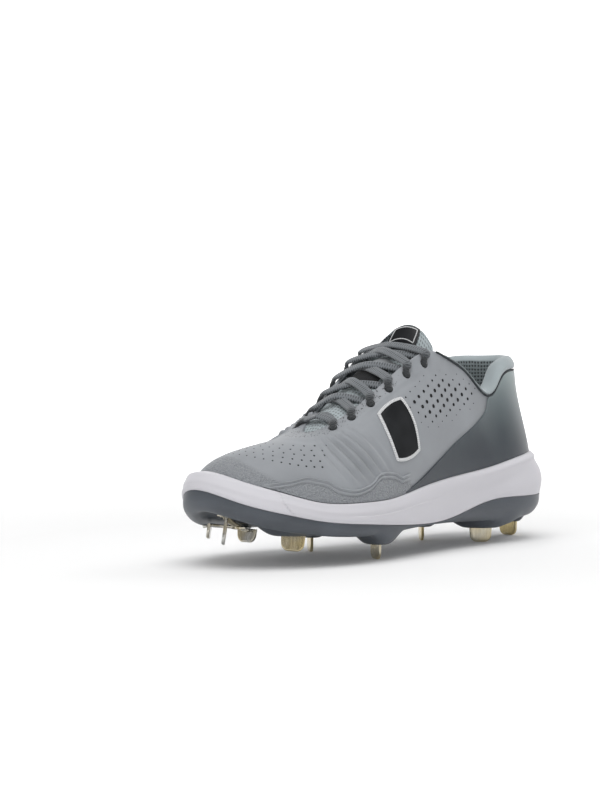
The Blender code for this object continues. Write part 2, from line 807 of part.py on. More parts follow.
def make_rand(side):
    """Grained skin along the side of the forefoot, with a wavy top edge."""
    first, last = RAND_TOP[1][0], RAND_TOP[-1][0]
    s = stations_between(first, last)
    top = along(RAND_TOP, "up", s)
    share = np.linspace(0, 1, 4)
    station = side_station(np.repeat(s[:, None], len(share), 1), side)
    name = "rand_outer" if side > 0 else "rand_inner"
    return overlay(name, station, top[:, None] * share, "grey_synthetic")


def make_saddle(side):
    """Plain black band between the eyestay and the sole."""
    up = np.linspace(SADDLE[1][0], SADDLE[-1][0], 8)
    front, rear = along(SADDLE, "front", up), along(SADDLE, "rear", up)
    share = np.linspace(0, 1, 6)[:, None]
    station = side_station(rear + (front - rear) * share, side)
    name = "saddle_outer" if side > 0 else "saddle_inner"
    return overlay(name, station, np.repeat(up[None, :], len(share), 0), "black_film")


def make_cuff():
    """Padded collar: it lines the ankle, rolls over the top edge and ends at the eyestay."""
    last = CUFF[-1][0]
    s = stations_between(-last, last)
    side = abs(s)
    pad = along(CUFF, "pad", side) * CUFF_PAD
    rise = along(CUFF, "rise", side) * CUFF_RISE
    s = np.mod(s, 2.0)
    full = np.ones(s.shape)
    back = UPPER_WALL + 1.5 * GAP
    up = np.array([0.0, 0.0, 1.0])
    edge = upper_point(s, full, 0 * full)
    outward = unit(wall_normal(s, full) * [1, 1, 0])
    depth = (pad + back)[:, None]
    high = up * rise[:, None]
    profile = [
        upper_point(s, CUFF_LOW_CLIMB * full, -back * full),
        upper_point(s, 0.83 * full, -back * full),
        edge - outward * back * 1.15 + up * GAP,
        edge + outward * CUFF_LAP * 0.4 + up * 1.5 * GAP,
        edge + outward * CUFF_LAP + high * 0.45,
        edge - outward * depth * 0.22 + high,
        edge - outward * depth * 0.70 + high * 0.90,
        edge - outward * depth + high * 0.35,
        upper_point(s, 0.88 * full, -(pad + back)),
        upper_point(s, 0.76 * full, -(pad * 0.7 + back)),
        upper_point(s, CUFF_LOW_CLIMB * full, -(CUFF_HEM + back) * full),
    ]
    return finish("collar_cuff", loft(np.stack(profile, 1), False, True), "knit_grey")


def throat_middle(station):
    """The middle of the throat between two opposite stations."""
    return (topline_point(np.array([station]))[0] + topline_point(np.array([2 - station]))[0]) / 2


def arch(outer, crown, inner):
    """A line from the outer to the inner point, arched through the crown."""
    share = np.linspace(1, -1, TONGUE_COLUMNS)[:, None]
    middle = (outer + inner) / 2
    return middle + (outer - inner) / 2 * share + (crown - middle) * (1 - share**2)


def tongue_section(station, lift=0.0):
    """A cross-section of the tongue's upper face, under the laces."""
    under = -(UPPER_WALL + TONGUE_ROOM)
    outer = upper_point(station, 0.74, under)
    inner = upper_point(2 - station, 0.74, under)
    crown = throat_middle(station) + np.array([0, 0, TONGUE_CROWN - UPPER_WALL - lift])
    return arch(outer, crown, inner)


def tongue_free_section(first, share):
    """A cross-section of the tongue above the laces, a share of the way to its top."""
    corners = []
    for name, x, y, rise in TONGUE_TOP[1:]:
        height = SEAT_HEIGHT + rise * INSTEP_HEIGHT
        corners.append(np.array([x * SHOE_LENGTH, y * BALL_WIDTH, height]))
    start = (first[0], first[TONGUE_COLUMNS // 2], first[-1])
    outer, crown, inner = (a + (b - a) * share for a, b in zip(start, corners))
    ease = max(0.0, share - 0.8) / 0.2
    middle = (outer + inner) / 2
    outer = outer + (middle - outer) * 0.16 * ease**2
    inner = inner + (middle - inner) * 0.16 * ease**2
    return arch(outer, crown, inner)


def tongue_face():
    """The tongue's upper face as a grid (run, across, xyz), and its run values."""
    under = ((0.93, 1), (0.86, 2 / 3), (0.78, 0), (0.70, 0), (0.62, 0), (0.54, 0), (0.47, 0))
    sections = [tongue_section(station, dip * TONGUE_DIP) for station, dip in under]
    free = (0.25, 0.5, 0.75, 0.92, 1.0)
    sections += [tongue_free_section(sections[-1], share) for share in free]
    run = list((0.47 - np.array([station for station, dip in under])) * 4) + list(free)
    return np.array(sections), np.array(run)


def tongue_normal(grid):
    """Direction out of the tongue's upper face at each place of its grid."""
    normal = unit(np.cross(np.gradient(grid, axis=1), np.gradient(grid, axis=0)))
    return normal * np.sign(normal[:, TONGUE_COLUMNS // 2 :][:, :1, 2:3])


def make_tongue():
    """Padded tongue: it runs from under the vamp to above the laces."""
    grid, run = tongue_face()
    normal = tongue_normal(grid)
    share = np.linspace(-1, 1, TONGUE_COLUMNS)[None, :, None]
    thick = TONGUE_THICKNESS * (0.3 + 0.7 * (1 - share**4))
    fade = np.interp(run, (-1.9, -1.5, -1.0, 0.7, 1.0), (0.4, 0.6, 1.0, 1.0, 0.4))[:, None, None]
    return thin_shell("tongue", grid, grid - normal * thick * fade, "knit_grey")


def make_tongue_patches():
    """Flat pieces lying on the tongue's face."""
    grid, run = tongue_face()
    normal = tongue_normal(grid)
    for name, first, last, half, finish_name in TONGUE_PATCHES[1:]:
        rows = np.concatenate([[first], run[(run > first) & (run < last)], [last]])
        columns = np.linspace(-1, 1, TONGUE_COLUMNS)
        inside = columns[abs(columns) < half]
        columns = np.concatenate([[-half], inside, [half]])
        at_run = np.interp(rows, run, np.arange(len(run)))
        at_column = (columns + 1) / 2 * (TONGUE_COLUMNS - 1)
        place = bilinear(grid, at_run, at_column)
        out = unit(bilinear(normal, at_run, at_column))
        thin_shell(name, place + out * (1.5 * GAP + SKIN), place + out * 1.5 * GAP, finish_name)


def bilinear(grid, rows, columns):
    """A grid read between its rows and columns."""
    i = np.clip(rows.astype(int), 0, grid.shape[0] - 2)[:, None]
    j = np.clip(columns.astype(int), 0, grid.shape[1] - 2)[None, :]
    u = (rows[:, None] - i)[..., None]
    v = (columns[None, :] - j)[..., None]
    low = grid[i, j] * (1 - v) + grid[i, j + 1] * v
    high = grid[i + 1, j] * (1 - v) + grid[i + 1, j + 1] * v
    return low * (1 - u) + high * u


def lace_form(points, normals):
    """A flat oval cord through guide points, its flat side along the guide normals."""
    guide = np.linspace(0, 1, len(points))
    t = np.linspace(0, 1, LACE_STEPS)
    line = np.stack([periodic_free(guide, points[:, i], t) for i in range(3)], 1)
    up = unit(np.stack([np.interp(t, guide, normals[:, i]) for i in range(3)], 1))
    run = unit(np.gradient(line, axis=0))
    wide = unit(np.cross(run, up))
    up = np.cross(wide, run)
    turn = np.linspace(0, 2 * np.pi, LACE_SIDES, endpoint=False)
    flat = np.cos(turn)[None, :, None] * wide[:, None] * LACE_WIDTH / 2
    deep = np.sin(turn)[None, :, None] * up[:, None] * LACE_THICKNESS / 2
    return loft(line[:, None] + flat + deep, False, True)


def periodic_free(knots, values, at):
    """A smooth line through values: the polynomial that meets every one of them."""
    total = 0
    for i, value in enumerate(values):
        term = value
        for j, knot in enumerate(knots):
            if j != i:
                term = term * (at - knot) / (knots[i] - knot)
        total = total + term
    return total


def lace_guides(row_from, side_from, row_to, side_to, over_end, high):
    """Guide points of one strand from an eyelet across the throat. over_end carries it
    over the far eyestay too; otherwise it stops short of the far edge."""
    lift = LACE_THICKNESS / 2 + 1.3 * GAP
    first, first_normal = eyelet(row_from, side_from)
    s_from, s_to = eyelet_station(row_from), eyelet_station(row_to)
    near = side_station(s_from + (s_to - s_from) * 0.15, side_from)
    far = side_station(s_to - (s_to - s_from) * (0.15 if over_end else 0.28), side_to)
    middle_station = (s_from + s_to) / 2
    up = unit(wall_normal(middle_station, 1.0) + wall_normal(2 - middle_station, 1.0))
    middle = throat_middle(middle_station) + up * (LACE_ARCH + high)
    near_point = upper_point(near, 1.0, lift + GAP)
    far_point = upper_point(far, 1.0, lift + GAP)
    points = [first + first_normal * lift, near_point, middle]
    normals = [first_normal, unit(wall_normal(near, 1.0) + up), up]
    if over_end:
        last, last_normal = eyelet(row_to, side_to)
        points += [far_point, last + last_normal * lift]
        normals += [unit(wall_normal(far, 1.0) + up), last_normal]
    else:
        points.append(middle + (far_point - middle) * 0.74)
        normals.append(unit(wall_normal(far, 1.0) + up))
    return np.array(points), np.array(normals)


def make_laces():
    """A crossing between each pair of rows, the first with its bar, and the top bar."""
    last = EYELET_ROWS - 1
    top_bar = lace_form(*lace_guides(last, 1, last, -1, True, LACE_STACK))
    finish("lace_bar_top", top_bar, "lace_grey")
    for row in range(last):
        forms = [
            lace_form(*lace_guides(row, 1, row + 1, -1, False, LACE_STACK)),
            lace_form(*lace_guides(row, -1, row + 1, 1, False, -LACE_STACK)),
        ]
        if row == 0:
            forms.append(lace_form(*lace_guides(0, 1, 0, -1, True, 0.0)))
        crossing = finish("lace_cross_%d" % (row + 1), forms[0], "lace_grey")
        for form in forms[1:]:
            apply_boolean(crossing, as_cutter(form, "lace_strand"), "UNION")
        crossing.data.materials.clear()
        crossing.data.materials.append(material("lace_grey"))


def make_bracket(plate):
    """Pressed steel bracket under the toe: three arms from a hub, a spike on each."""
    made = bmesh.new()
    made.from_mesh(plate.data)
    tree = BVHTree.FromBMesh(made)
    made.free()

    def under(x, y):
        hit = tree.ray_cast(Vector((x, y, -SEAT_HEIGHT)), Vector((0, 0, 1)))[0]
        return hit.z if hit else SEAT_HEIGHT

    def arm(start, end, half):
        run = unit(end - start)
        side = np.array([-run[1], run[0]]) * half
        sections = []
        for share in np.linspace(0, 1, 6):
            place = start + (end - start) * share
            near = [place + run * half * a + side * b for a in (-1, 0, 1) for b in (-1.2, 0, 1.2)]
            top = min(under(*spot) for spot in near) - 3 * GAP
            low = top - BRACKET_THICKNESS
            left, right = place + side, place - side
            sections.append([(*left, top), (*right, top), (*right, low), (*left, low)])
        return loft(np.array(sections), False, True)

    hub = np.array([BRACKET_HUB_PLACE[0] * SHOE_LENGTH, BRACKET_HUB_PLACE[1] * BALL_WIDTH])
    rim = [hub + BRACKET_HUB * np.array([a, b]) for a in (-1, 0, 1) for b in (-1, 0, 1)]
    height = min(under(*spot) for spot in rim) - 3 * GAP - BRACKET_THICKNESS / 2
    disc = bmesh.new()
    bmesh.ops.create_cone(
        disc, cap_ends=True, segments=12, radius1=BRACKET_HUB, radius2=BRACKET_HUB,
        depth=BRACKET_THICKNESS, matrix=Matrix.Translation((*hub, height)),
    )
    bracket = finish("front_spike_bracket", disc, "plated_steel")
    for spike in spikes(LINKED_SPIKES):
        foot = spike["place"].to_translation()
        spot = np.array([foot.x, foot.y])
        reach = unit(spot - hub) * BRACKET_ARM * 0.5
        cutter = as_cutter(arm(hub, spot + reach, BRACKET_ARM / 2), "arm_" + spike["name"])
        apply_boolean(bracket, cutter, "UNION")
        near = (-BRACKET_ARM, BRACKET_ARM)
        top = min(under(foot.x + dx, foot.y + dy) for dx in near for dy in near)
        blade = spike_form(top - 4 * GAP - foot.z)
        bmesh.ops.transform(blade, matrix=spike["place"], verts=blade.verts)
        apply_boolean(bracket, as_cutter(blade, "blade_" + spike["name"]), "UNION")
    bracket.data.materials.clear()
    bracket.data.materials.append(material("plated_steel"))


def main():
    for old in list(bpy.data.objects):
        bpy.data.objects.remove(old)
    make_upper()
    make_midsole()
    plate = make_outsole()
    make_insole()
    for spike in spikes(SPIKES):
        make_spike(spike)
    make_bracket(plate)
    make_heel_counter()
    for side in (1, -1):
        make_rand(side)
        make_saddle(side)
    make_cuff()
    make_tongue()
    make_tongue_patches()
    make_laces()
    centre_footprint()


def centre_footprint():
    """Moves everything so that the footprint's middle is over the row's origin."""
    parts = collection("baseball_cleat").objects
    places = np.array([
        part.matrix_world @ vert.co for part in parts for vert in part.data.vertices
    ])
    middle = (places.min(0) + places.max(0)) / 2
    shift = Matrix.Translation((-middle[0], -middle[1], 0))
    for part in parts:
        part.data.transform(shift @ part.matrix_world)
        part.matrix_world = Matrix.Identity(4)


main()
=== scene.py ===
"""Surfaces, finishes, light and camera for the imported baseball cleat, a left shoe.

Laid out as a Blender add-on. A place on the shoe has two numbers, as in the part's source:
  station  0 at the middle of the heel, 1 at the tip of the toe along the outer side, and on
           to 2, the heel again, along the inner side
  climb    0 at the feather line where upper and sole meet, 1 at the collar or throat edge
Forms are worked out in the last's own frame, x = 0 at the back of the last, and moved to
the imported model's frame at the end. Lengths are metres.
"""

import math

import bmesh
import bpy
import numpy as np
from bpy.props import FloatProperty, FloatVectorProperty, PointerProperty
from mathutils import Matrix, Vector


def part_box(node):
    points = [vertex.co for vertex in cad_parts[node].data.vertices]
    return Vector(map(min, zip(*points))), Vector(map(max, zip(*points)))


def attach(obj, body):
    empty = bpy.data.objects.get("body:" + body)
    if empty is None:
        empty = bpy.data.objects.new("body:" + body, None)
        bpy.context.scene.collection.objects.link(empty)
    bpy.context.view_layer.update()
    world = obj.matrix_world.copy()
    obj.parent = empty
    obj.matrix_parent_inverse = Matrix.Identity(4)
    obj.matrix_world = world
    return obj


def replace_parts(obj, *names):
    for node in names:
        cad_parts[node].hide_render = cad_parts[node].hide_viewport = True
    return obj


bl_info = {
    "name": "Baseball cleat",
    "version": (1, 0, 0),
    "blender": (4, 5, 0),
    "location": "3D View > Sidebar > Cleat",
    "description": "Makes the surfaces and finishes of a low baseball cleat on its packed model",
    "category": "Object",
}

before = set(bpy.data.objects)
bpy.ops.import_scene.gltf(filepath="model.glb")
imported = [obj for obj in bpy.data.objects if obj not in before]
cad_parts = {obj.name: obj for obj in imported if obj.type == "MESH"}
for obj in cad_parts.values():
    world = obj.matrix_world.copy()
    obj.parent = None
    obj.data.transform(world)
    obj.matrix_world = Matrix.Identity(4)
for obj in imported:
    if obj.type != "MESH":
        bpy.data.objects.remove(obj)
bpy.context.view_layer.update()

# Driving sizes, as in the part's source
SHOE_LENGTH = 0.300
BALL_WIDTH = 0.106
SEAT_HEIGHT = 0.034
HEEL_HEIGHT = 0.076
INSTEP_HEIGHT = 0.0895
UPPER_WALL = 0.0018
EDGE_TURN = 0.020
GAP = 0.0003
RIM_WALL = 0.0026
PLATE_THICKNESS = 0.0028
INSOLE_THICKNESS = 0.0042
INSOLE_DISH = 0.013
SPINE_SHARE = 0.84
CORE_INSET = 0.010
SKIN = 0.0008

# Spikes, bosses and the stamped bracket
SPIKE_WIDTH = 0.0150
SPIKE_THICKNESS = 0.0020
SPIKE_DROP = 0.0125
SPIKE_ROOT = 0.0022
SPIKE_CORNER = 0.0042
SPIKE_TAPER = 0.88
SLOT_ROOF = 0.0006
BOSS_TOP_RADIUS = 0.0155
BOSS_FOOT_RADIUS = 0.0100
BOSS_BARE = 0.74
BOSS_NARROW = 1.7
BOSS_CURVE = 1.35
# Foot and top of a boss as shares of the two radii, for most bosses and the rear one
PLAIN_BOSS = (0.95, 1.95)
REAR_BOSS = (0.75, 1.20)
TEETH_PITCH = 0.016
TEETH_HEIGHT = 0.0019
SIDE_EVENING = 40
BRACKET_THICKNESS = 0.0014
BRACKET_ARM = 0.0050
BRACKET_HUB = 0.0062

# Collar, tongue and lacing
CUFF_LOW_CLIMB = 0.66
CUFF_RISE = 0.0085
CUFF_LAP = 0.0010
CUFF_HEM = 0.0012
# Guide point of the roll from which it is lined
CUFF_LINED_FROM = 6.6
PIPING_CLIMB = 0.992
TONGUE_ROOM = 0.0022
TONGUE_CROWN = 0.0022
TONGUE_DIP = 0.0060
EYELET_ROWS = 6
EYELET_RADIUS = 0.0026
EYELET_INSET = 0.0072
EYELET_FIRST_STATION = 0.775
EYELET_LAST_STATION = 0.486
LACE_ARCH = 0.0044
LACE_STACK = 0.0012
HOLE_REACH = 0.0028

# Feather line: station, x (share of length), outer and inner y (shares of ball width),
# and the seat's height there (share of the heel seat's height)
FEATHER = [
    ("station", "x", "outer", "inner", "seat"),
    (0.000, 0.040, 0.000, 0.000, 1.00),
    (0.078, 0.070, 0.208, -0.208, 1.00),
    (0.157, 0.145, 0.302, -0.302, 1.00),
    (0.270, 0.265, 0.322, -0.300, 0.99),
    (0.395, 0.400, 0.345, -0.285, 0.92),
    (0.522, 0.533, 0.395, -0.335, 0.80),
    (0.649, 0.667, 0.443, -0.425, 0.72),
    (0.743, 0.770, 0.422, -0.440, 0.76),
    (0.838, 0.865, 0.312, -0.375, 0.90),
    (0.918, 0.935, 0.150, -0.250, 1.08),
    (1.000, 0.967, -0.085, -0.085, 1.20),
]

# Collar and throat edge: the height above the heel seat is a share of the heel height
# plus a share of the instep height
TOPLINE = [
    ("station", "x", "outer", "inner", "heel", "instep"),
    (0.000, 0.062, 0.000, 0.000, 1.00, 0.00),
    (0.078, 0.091, 0.138, -0.138, 1.00, 0.00),
    (0.157, 0.145, 0.232, -0.232, 1.00, 0.00),
    (0.200, 0.185, 0.258, -0.258, 0.95, 0.00),
    (0.235, 0.213, 0.268, -0.268, 0.835, 0.00),
    (0.272, 0.245, 0.274, -0.270, 0.80, 0.00),
    (0.335, 0.305, 0.268, -0.258, 0.50, 0.41),
    (0.400, 0.362, 0.250, -0.236, 0.10, 0.86),
    (0.448, 0.404, 0.240, -0.222, 0.00, 1.000),
    (0.500, 0.450, 0.226, -0.200, 0.00, 0.975),
    (0.600, 0.535, 0.190, -0.162, 0.00, 0.810),
    (0.700, 0.615, 0.152, -0.115, 0.00, 0.634),
    (0.780, 0.672, 0.112, -0.070, 0.00, 0.528),
    (0.860, 0.700, 0.070, -0.028, 0.00, 0.486),
    (1.000, 0.708, 0.020, 0.020, 0.00, 0.470),
]

# How a wall line leaves the feather line (lean out, rise up) and reaches the top edge
# (reach out, drop down), shares of the ball width
SWELL = [
    ("station", "lean", "rise", "reach", "drop"),
    (0.000, 0.030, 0.240, 0.000, 0.230),
    (0.157, 0.045, 0.240, 0.005, 0.240),
    (0.272, 0.055, 0.200, 0.020, 0.180),
    (0.448, 0.060, 0.250, 0.080, 0.230),
    (0.600, 0.060, 0.230, 0.150, 0.130),
    (0.700, 0.055, 0.210, 0.180, 0.105),
    (0.860, 0.045, 0.215, 0.260, 0.070),
    (1.000, 0.045, 0.270, 0.340, 0.075),
]

# Side of the sole: z columns are shares of the heel seat's height, r columns are
# distances out from the feather line as shares of the ball width
SOLE_SIDE = [
    ("station", "rim_z", "bulge_r", "bulge_z", "part_r", "part_z", "foot_r", "foot_z", "base_z"),
    (0.000, 1.66, 0.105, 1.34, 0.080, 0.87, 0.010, 0.50, 0.56),
    (0.157, 1.60, 0.065, 1.28, 0.062, 0.87, 0.005, 0.45, 0.52),
    (0.270, 1.45, 0.050, 1.10, 0.048, 0.86, -0.005, 0.46, 0.52),
    (0.400, 1.33, 0.045, 0.98, 0.036, 0.62, -0.030, 0.50, 0.56),
    (0.520, 1.20, 0.045, 0.90, 0.038, 0.58, -0.030, 0.50, 0.56),
    (0.620, 1.07, 0.048, 0.84, 0.042, 0.64, -0.010, 0.47, 0.52),
    (0.700, 1.05, 0.052, 0.84, 0.048, 0.71, -0.005, 0.48, 0.53),
    (0.790, 1.10, 0.052, 0.93, 0.052, 0.81, 0.000, 0.55, 0.60),
    (0.850, 1.25, 0.050, 1.07, 0.052, 0.94, 0.000, 0.64, 0.69),
    (0.918, 1.45, 0.050, 1.25, 0.054, 1.13, 0.002, 0.80, 0.84),
    (1.000, 1.64, 0.054, 1.46, 0.054, 1.36, 0.004, 0.98, 1.02),
]

# Spikes in bosses: x (share of length), y (share of ball width), turn about Z and pitch
# with the toe spring in degrees
SPIKES = [
    ("name", "x", "y", "turn", "pitch"),
    ("fore_outer", 0.815, 0.180, 128, 7),
    ("ball_inner", 0.595, -0.250, 52, 0),
    ("ball_outer", 0.620, 0.315, 62, 0),
    ("heel_inner", 0.266, -0.180, 48, 0),
    ("heel_outer", 0.215, 0.165, 130, 0),
    ("heel_rear", 0.052, 0.020, 88, 0),
]

# Three linked front spikes: place and turn as above, and the lift of the foot above the
# floor (share of the spike's drop)
LINKED_SPIKES = [
    ("name", "x", "y", "lift", "turn", "pitch"),
    ("toe_inner", 0.900, -0.235, 1.20, 40, 12),
    ("toe_outer", 0.925, -0.050, 1.05, 42, 12),
    ("fore_inner", 0.780, -0.265, 0.78, 92, 7),
]
BRACKET_HUB_PLACE = (0.845, -0.130)

# Front edge of the heel counter: station, share of the way up from sole to collar
COUNTER_TOP = [
    ("station", "up"),
    (0.000, 0.985),
    (0.262, 0.985),
    (0.282, 0.740),
    (0.335, 0.423),
    (0.400, 0.259),
    (0.460, 0.138),
    (0.525, 0.047),
    (0.570, 0.012),
]

# Top of the side rands: station, share of the way up from sole to collar
RAND_TOP = [
    ("station", "up"),
    (0.585, 0.140),
    (0.620, 0.205),
    (0.650, 0.225),
    (0.682, 0.150),
    (0.715, 0.123),
    (0.750, 0.155),
    (0.785, 0.230),
    (0.815, 0.240),
    (0.855, 0.140),
    (0.895, 0.030),
]

# Saddle band from the eyestay to the sole: share of the way up, front and rear station
SADDLE = [
    ("up", "front", "rear"),
    (0.250, 0.606, 0.516),
    (0.450, 0.624, 0.534),
    (0.740, 0.655, 0.570),
]
SADDLE_ROUNDING = 0.42

# Padded collar: station, pad and rise as shares of their named sizes
CUFF = [
    ("station", "pad", "rise"),
    (0.000, 0.80, 1.00),
    (0.157, 0.85, 0.92),
    (0.200, 1.00, 0.85),
    (0.240, 1.00, 0.60),
    (0.272, 0.95, 0.42),
    (0.335, 0.60, 0.22),
    (0.405, 0.35, 0.16),
]

# Free top of the tongue: x (share of length), y (share of ball width), height above the
# heel seat (share of instep height)
TONGUE_TOP = [
    ("place", "x", "y", "rise"),
    ("outer", 0.387, 0.212, 1.040),
    ("crown", 0.400, 0.045, 1.180),
    ("inner", 0.422, -0.142, 1.055),
]

# The vented patch on the outer quarter: corners (x, z) as shares of the shoe's length
VENT_CORNERS = (
    (0.525, 0.325), (0.409, 0.372), (0.277, 0.337), (0.297, 0.297), (0.470, 0.256), (0.529, 0.305),
)
VENT_ORIGIN = (0.432, 0.3513)
VENT_ALONG = (-0.0365, 0.0)
VENT_DOWN = (0.0168, -0.0104)
# Steps of the lattice to either side, depth of a vent and the painted shadow colour in it
VENT_REACH = 12
VENT_DEPTH = 0.0015
VENT_SHADOW = (0.006, 0.006, 0.007)
# Climbs of the vamp's rows of small vents
VAMP_ROWS = (0.475, 0.535, 0.595, 0.655, 0.715)

# Ribs of the inner quarter: foot of the first rib (x, z), step from rib to rib, run of
# each rib, all as shares of the shoe's length, count, and how much each is shorter
LONG_RIBS = ((0.5145, 0.3205), (-0.0180, 0.0113), (-0.0753, -0.0517), 8, 0.0)
SHORT_RIBS = ((0.620, 0.222), (0.0, 0.0137), (0.0740, 0.0300), 5, 0.14)

# Flex creases of the forefoot: they lie where station minus a share of the climb is steady
FLEX_FIRST = 0.535
FLEX_STEP = 0.0225
FLEX_COUNT = 6
FLEX_LEAN = 0.22
# How much painted shade the bottoms of the creases get, as a share of the painted shade in the ribs' grooves
CREASE_SHADE = 0.42

# How finely the forms are divided
UPPER_STATIONS = 760
UPPER_ROWS = 88
INNER_ROWS = 20
SOLE_STATIONS = 520
FOAM_SIDE_ROWS = 44
PLATE_SIDE_ROWS = 46
PLATE_UNDER_ROWS = 25
RAND_GRID = (260, 64)
COUNTER_GRID = (420, 46)
SADDLE_GRID = (44, 30)
TONGUE_GRID = (110, 57)
TONGUE_COLUMNS = 11
LACE_SIDES = 16
STEEL_SIDES = 40
ARM_PLACES = 16
BAR_PLACES = 12
CAP_ROWS = 4

# Climb that no rim reaches, and the halvings that find the climb at a height
HIGHEST_RIM = 0.75
HALVINGS = 24

# The sign of y on each side of the shoe, and the side's name
SIDES = ((1, "outer"), (-1, "inner"))

# Threads: strands along the edging, strands along the lace and their slant in degrees
THREAD_STRANDS = 1800.0
LACE_STRANDS = 205.0
LACE_SLANT = 14

# The photograph's view: where the camera looks, from which side, and how far it is
VIEW_TARGET = (0.150, 0.0, 0.060)
VIEW_TURN = 47.56
VIEW_RISE = 2.29
VIEW_ROLL = -0.30
VIEW_DISTANCE = 1.500
VIEW_ASIDE = (0.0448, -0.0333)
VIEW_LENS = 109.08


def length_property(name, description, value):
    """A length that a user may change, in metres."""
    return FloatProperty(name=name, description=description, default=value, unit="LENGTH")


def colour_property(name, description, value):
    """A colour that a user may change, as linear red, green and blue."""
    return FloatVectorProperty(
        name=name, description=description, default=value, subtype="COLOR", size=3, min=0.0, max=1.0
    )


class CleatSizes(bpy.types.PropertyGroup):
    """Sizes a user may change."""

    lace_width: length_property("Lace width", "Width of the flat lace", 0.0058)
    lace_thickness: length_property("Lace thickness", "Thickness of the flat lace", 0.0024)
    cuff_pad: length_property("Collar padding", "Depth of the collar's padding", 0.0085)
    tongue_thickness: length_property("Tongue padding", "Thickness of the tongue", 0.0050)
    crease_depth: length_property("Crease depth", "Depth of the flex creases", 0.0018)
    rib_height: length_property("Rib height", "Height of the inner quarter's ribs", 0.0016)
    vent_radius: length_property("Vent radius", "Radius of the largest vent hole", 0.00125)
    welt_height: length_property("Welt height", "Height of the double welt over the rand", 0.0006)
    piping_radius: length_property("Piping radius", "Radius of the collar's piping", 0.0007)


class CleatColours(bpy.types.PropertyGroup):
    """Colours a user may change."""

    upper: colour_property("Upper", "Grey synthetic of the upper", (0.312, 0.328, 0.350))
    counter: colour_property("Counter", "Dark film round the heel", (0.029, 0.037, 0.049))
    # The paler counter colour is painted sheen, laid towards the collar and in soft patches
    counter_sheen: colour_property("Counter top", "The counter near the collar", (0.300, 0.360, 0.366))
    film: colour_property("Saddle film", "Black film of the saddle bands", (0.006, 0.007, 0.009))
    thread: colour_property("Edging", "White stitched edging", (0.86, 0.87, 0.88))
    foam: colour_property("Foam", "White midsole foam", (0.70, 0.69, 0.73))
    plate: colour_property("Plate", "Moulded plate", (0.078, 0.089, 0.105))
    lace: colour_property("Lace", "Woven lace", (0.168, 0.182, 0.196))
    knit: colour_property("Knit", "Teal grey knit of collar and tongue", (0.385, 0.435, 0.452))
    lining: colour_property("Lining", "Mesh lining", (0.215, 0.250, 0.262))
    piping: colour_property("Piping", "Dark piping", (0.040, 0.048, 0.055))
    insole: colour_property("Sockliner", "Top cloth of the sockliner", (0.130, 0.140, 0.150))
    webbing: colour_property("Webbing", "Light webbing under the laces", (0.42, 0.44, 0.46))
    steel: colour_property("Steel", "Plated steel", (0.56, 0.56, 0.54))
    gilt: colour_property("Gilt", "Gold tint of the plating", (0.60, 0.49, 0.26))


def sizes():
    """The sizes of this scene."""
    return bpy.context.scene.cleat_sizes


def tint(name):
    """One of this scene's colours."""
    return tuple(getattr(bpy.context.scene.cleat_colours, name))


# Reading the tables


def table(rows):
    """A table's columns by name, as arrays."""
    head, body = rows[0], rows[1:]
    return {name: np.array([row[i] for row in body]) for i, name in enumerate(head)}


def periodic_spline(knots, values, period, at):
    """Closed cubic spline: value, slope and curvature all agree where the end meets the
    start, so the bends at the knots come from one cyclic linear system."""
    t = np.append(knots, knots[0] + period)
    y = np.append(values, values[:1])
    n = len(knots)
    step = np.diff(t)
    rise = np.diff(y) / step
    system = np.zeros((n, n))
    right = np.zeros(n)
    for i in range(n):
        before = step[i - 1]
        system[i, i - 1] += before
        system[i, i] += 2 * (before + step[i])
        system[i, (i + 1) % n] += step[i]
        right[i] = 6 * (rise[i] - rise[i - 1])
    bend = np.linalg.solve(system, right)
    bend = np.append(bend, bend[0])
    s = np.mod(np.asarray(at, float) - t[0], period) + t[0]
    i = np.clip(np.searchsorted(t, s, side="right") - 1, 0, n - 1)
    a = (t[i + 1] - s) / step[i]
    b = (s - t[i]) / step[i]
    curved = ((a**3 - a) * bend[i] + (b**3 - b) * bend[i + 1]) * step[i] ** 2 / 6
    return a * y[i] + b * y[i + 1] + curved


def around(rows, outer, inner, station):
    """A table column carried round the shoe: the outer side reads one column, the inner
    side the other, and the two meet at heel and toe."""
    columns = table(rows)
    knots = columns["station"]
    back = 2 - knots[-2:0:-1]
    values = np.concatenate([columns[outer], columns[inner][-2:0:-1]])
    return periodic_spline(np.concatenate([knots, back]), values, 2.0, station)


def fold(station):
    """The station on the outer side that stands opposite."""
    s = np.mod(np.asarray(station, float), 2.0)
    return np.where(s > 1, 2 - s, s)


def along(rows, column, at):
    """An open table read as a smooth line through its rows: cubic pieces whose slopes are
    harmonic means, so the line never overshoots."""
    columns = table(rows)
    knots = columns[rows[0][0]]
    values = columns[column]
    rise = np.diff(values) / np.diff(knots)
    before, after = rise[:-1], rise[1:]
    level = 2 * before * after / np.where(before + after == 0, 1, before + after)
    slope = np.concatenate([rise[:1], np.where(before * after > 0, level, 0), rise[-1:]])
    s = np.clip(np.asarray(at, float), knots[0], knots[-1])
    i = np.clip(np.searchsorted(knots, s, side="right") - 1, 0, len(knots) - 2)
    width = knots[i + 1] - knots[i]
    u = (s - knots[i]) / width
    start = (1 + 2 * u) * (1 - u) ** 2 * values[i] + u * (1 - u) ** 2 * width * slope[i]
    end = u * u * (3 - 2 * u) * values[i + 1] - u * u * (1 - u) * width * slope[i + 1]
    return start + end


def unit(vectors):
    """Vectors at length one."""
    return vectors / np.maximum(np.linalg.norm(vectors, axis=-1, keepdims=True), 1e-9)


def smooth(low, high, value):
    """0 below low, 1 above high, and an even S curve, 3u^2 - 2u^3, between."""
    u = np.clip((np.asarray(value, float) - low) / (high - low), 0, 1)
    return u * u * (3 - 2 * u)


def hump(value, middle, half):
    """A round hump, (1 - u^2)^2 with u the distance from the middle in halves."""
    u = np.clip((np.asarray(value, float) - middle) / half, -1, 1)
    return (1 - u * u) ** 2


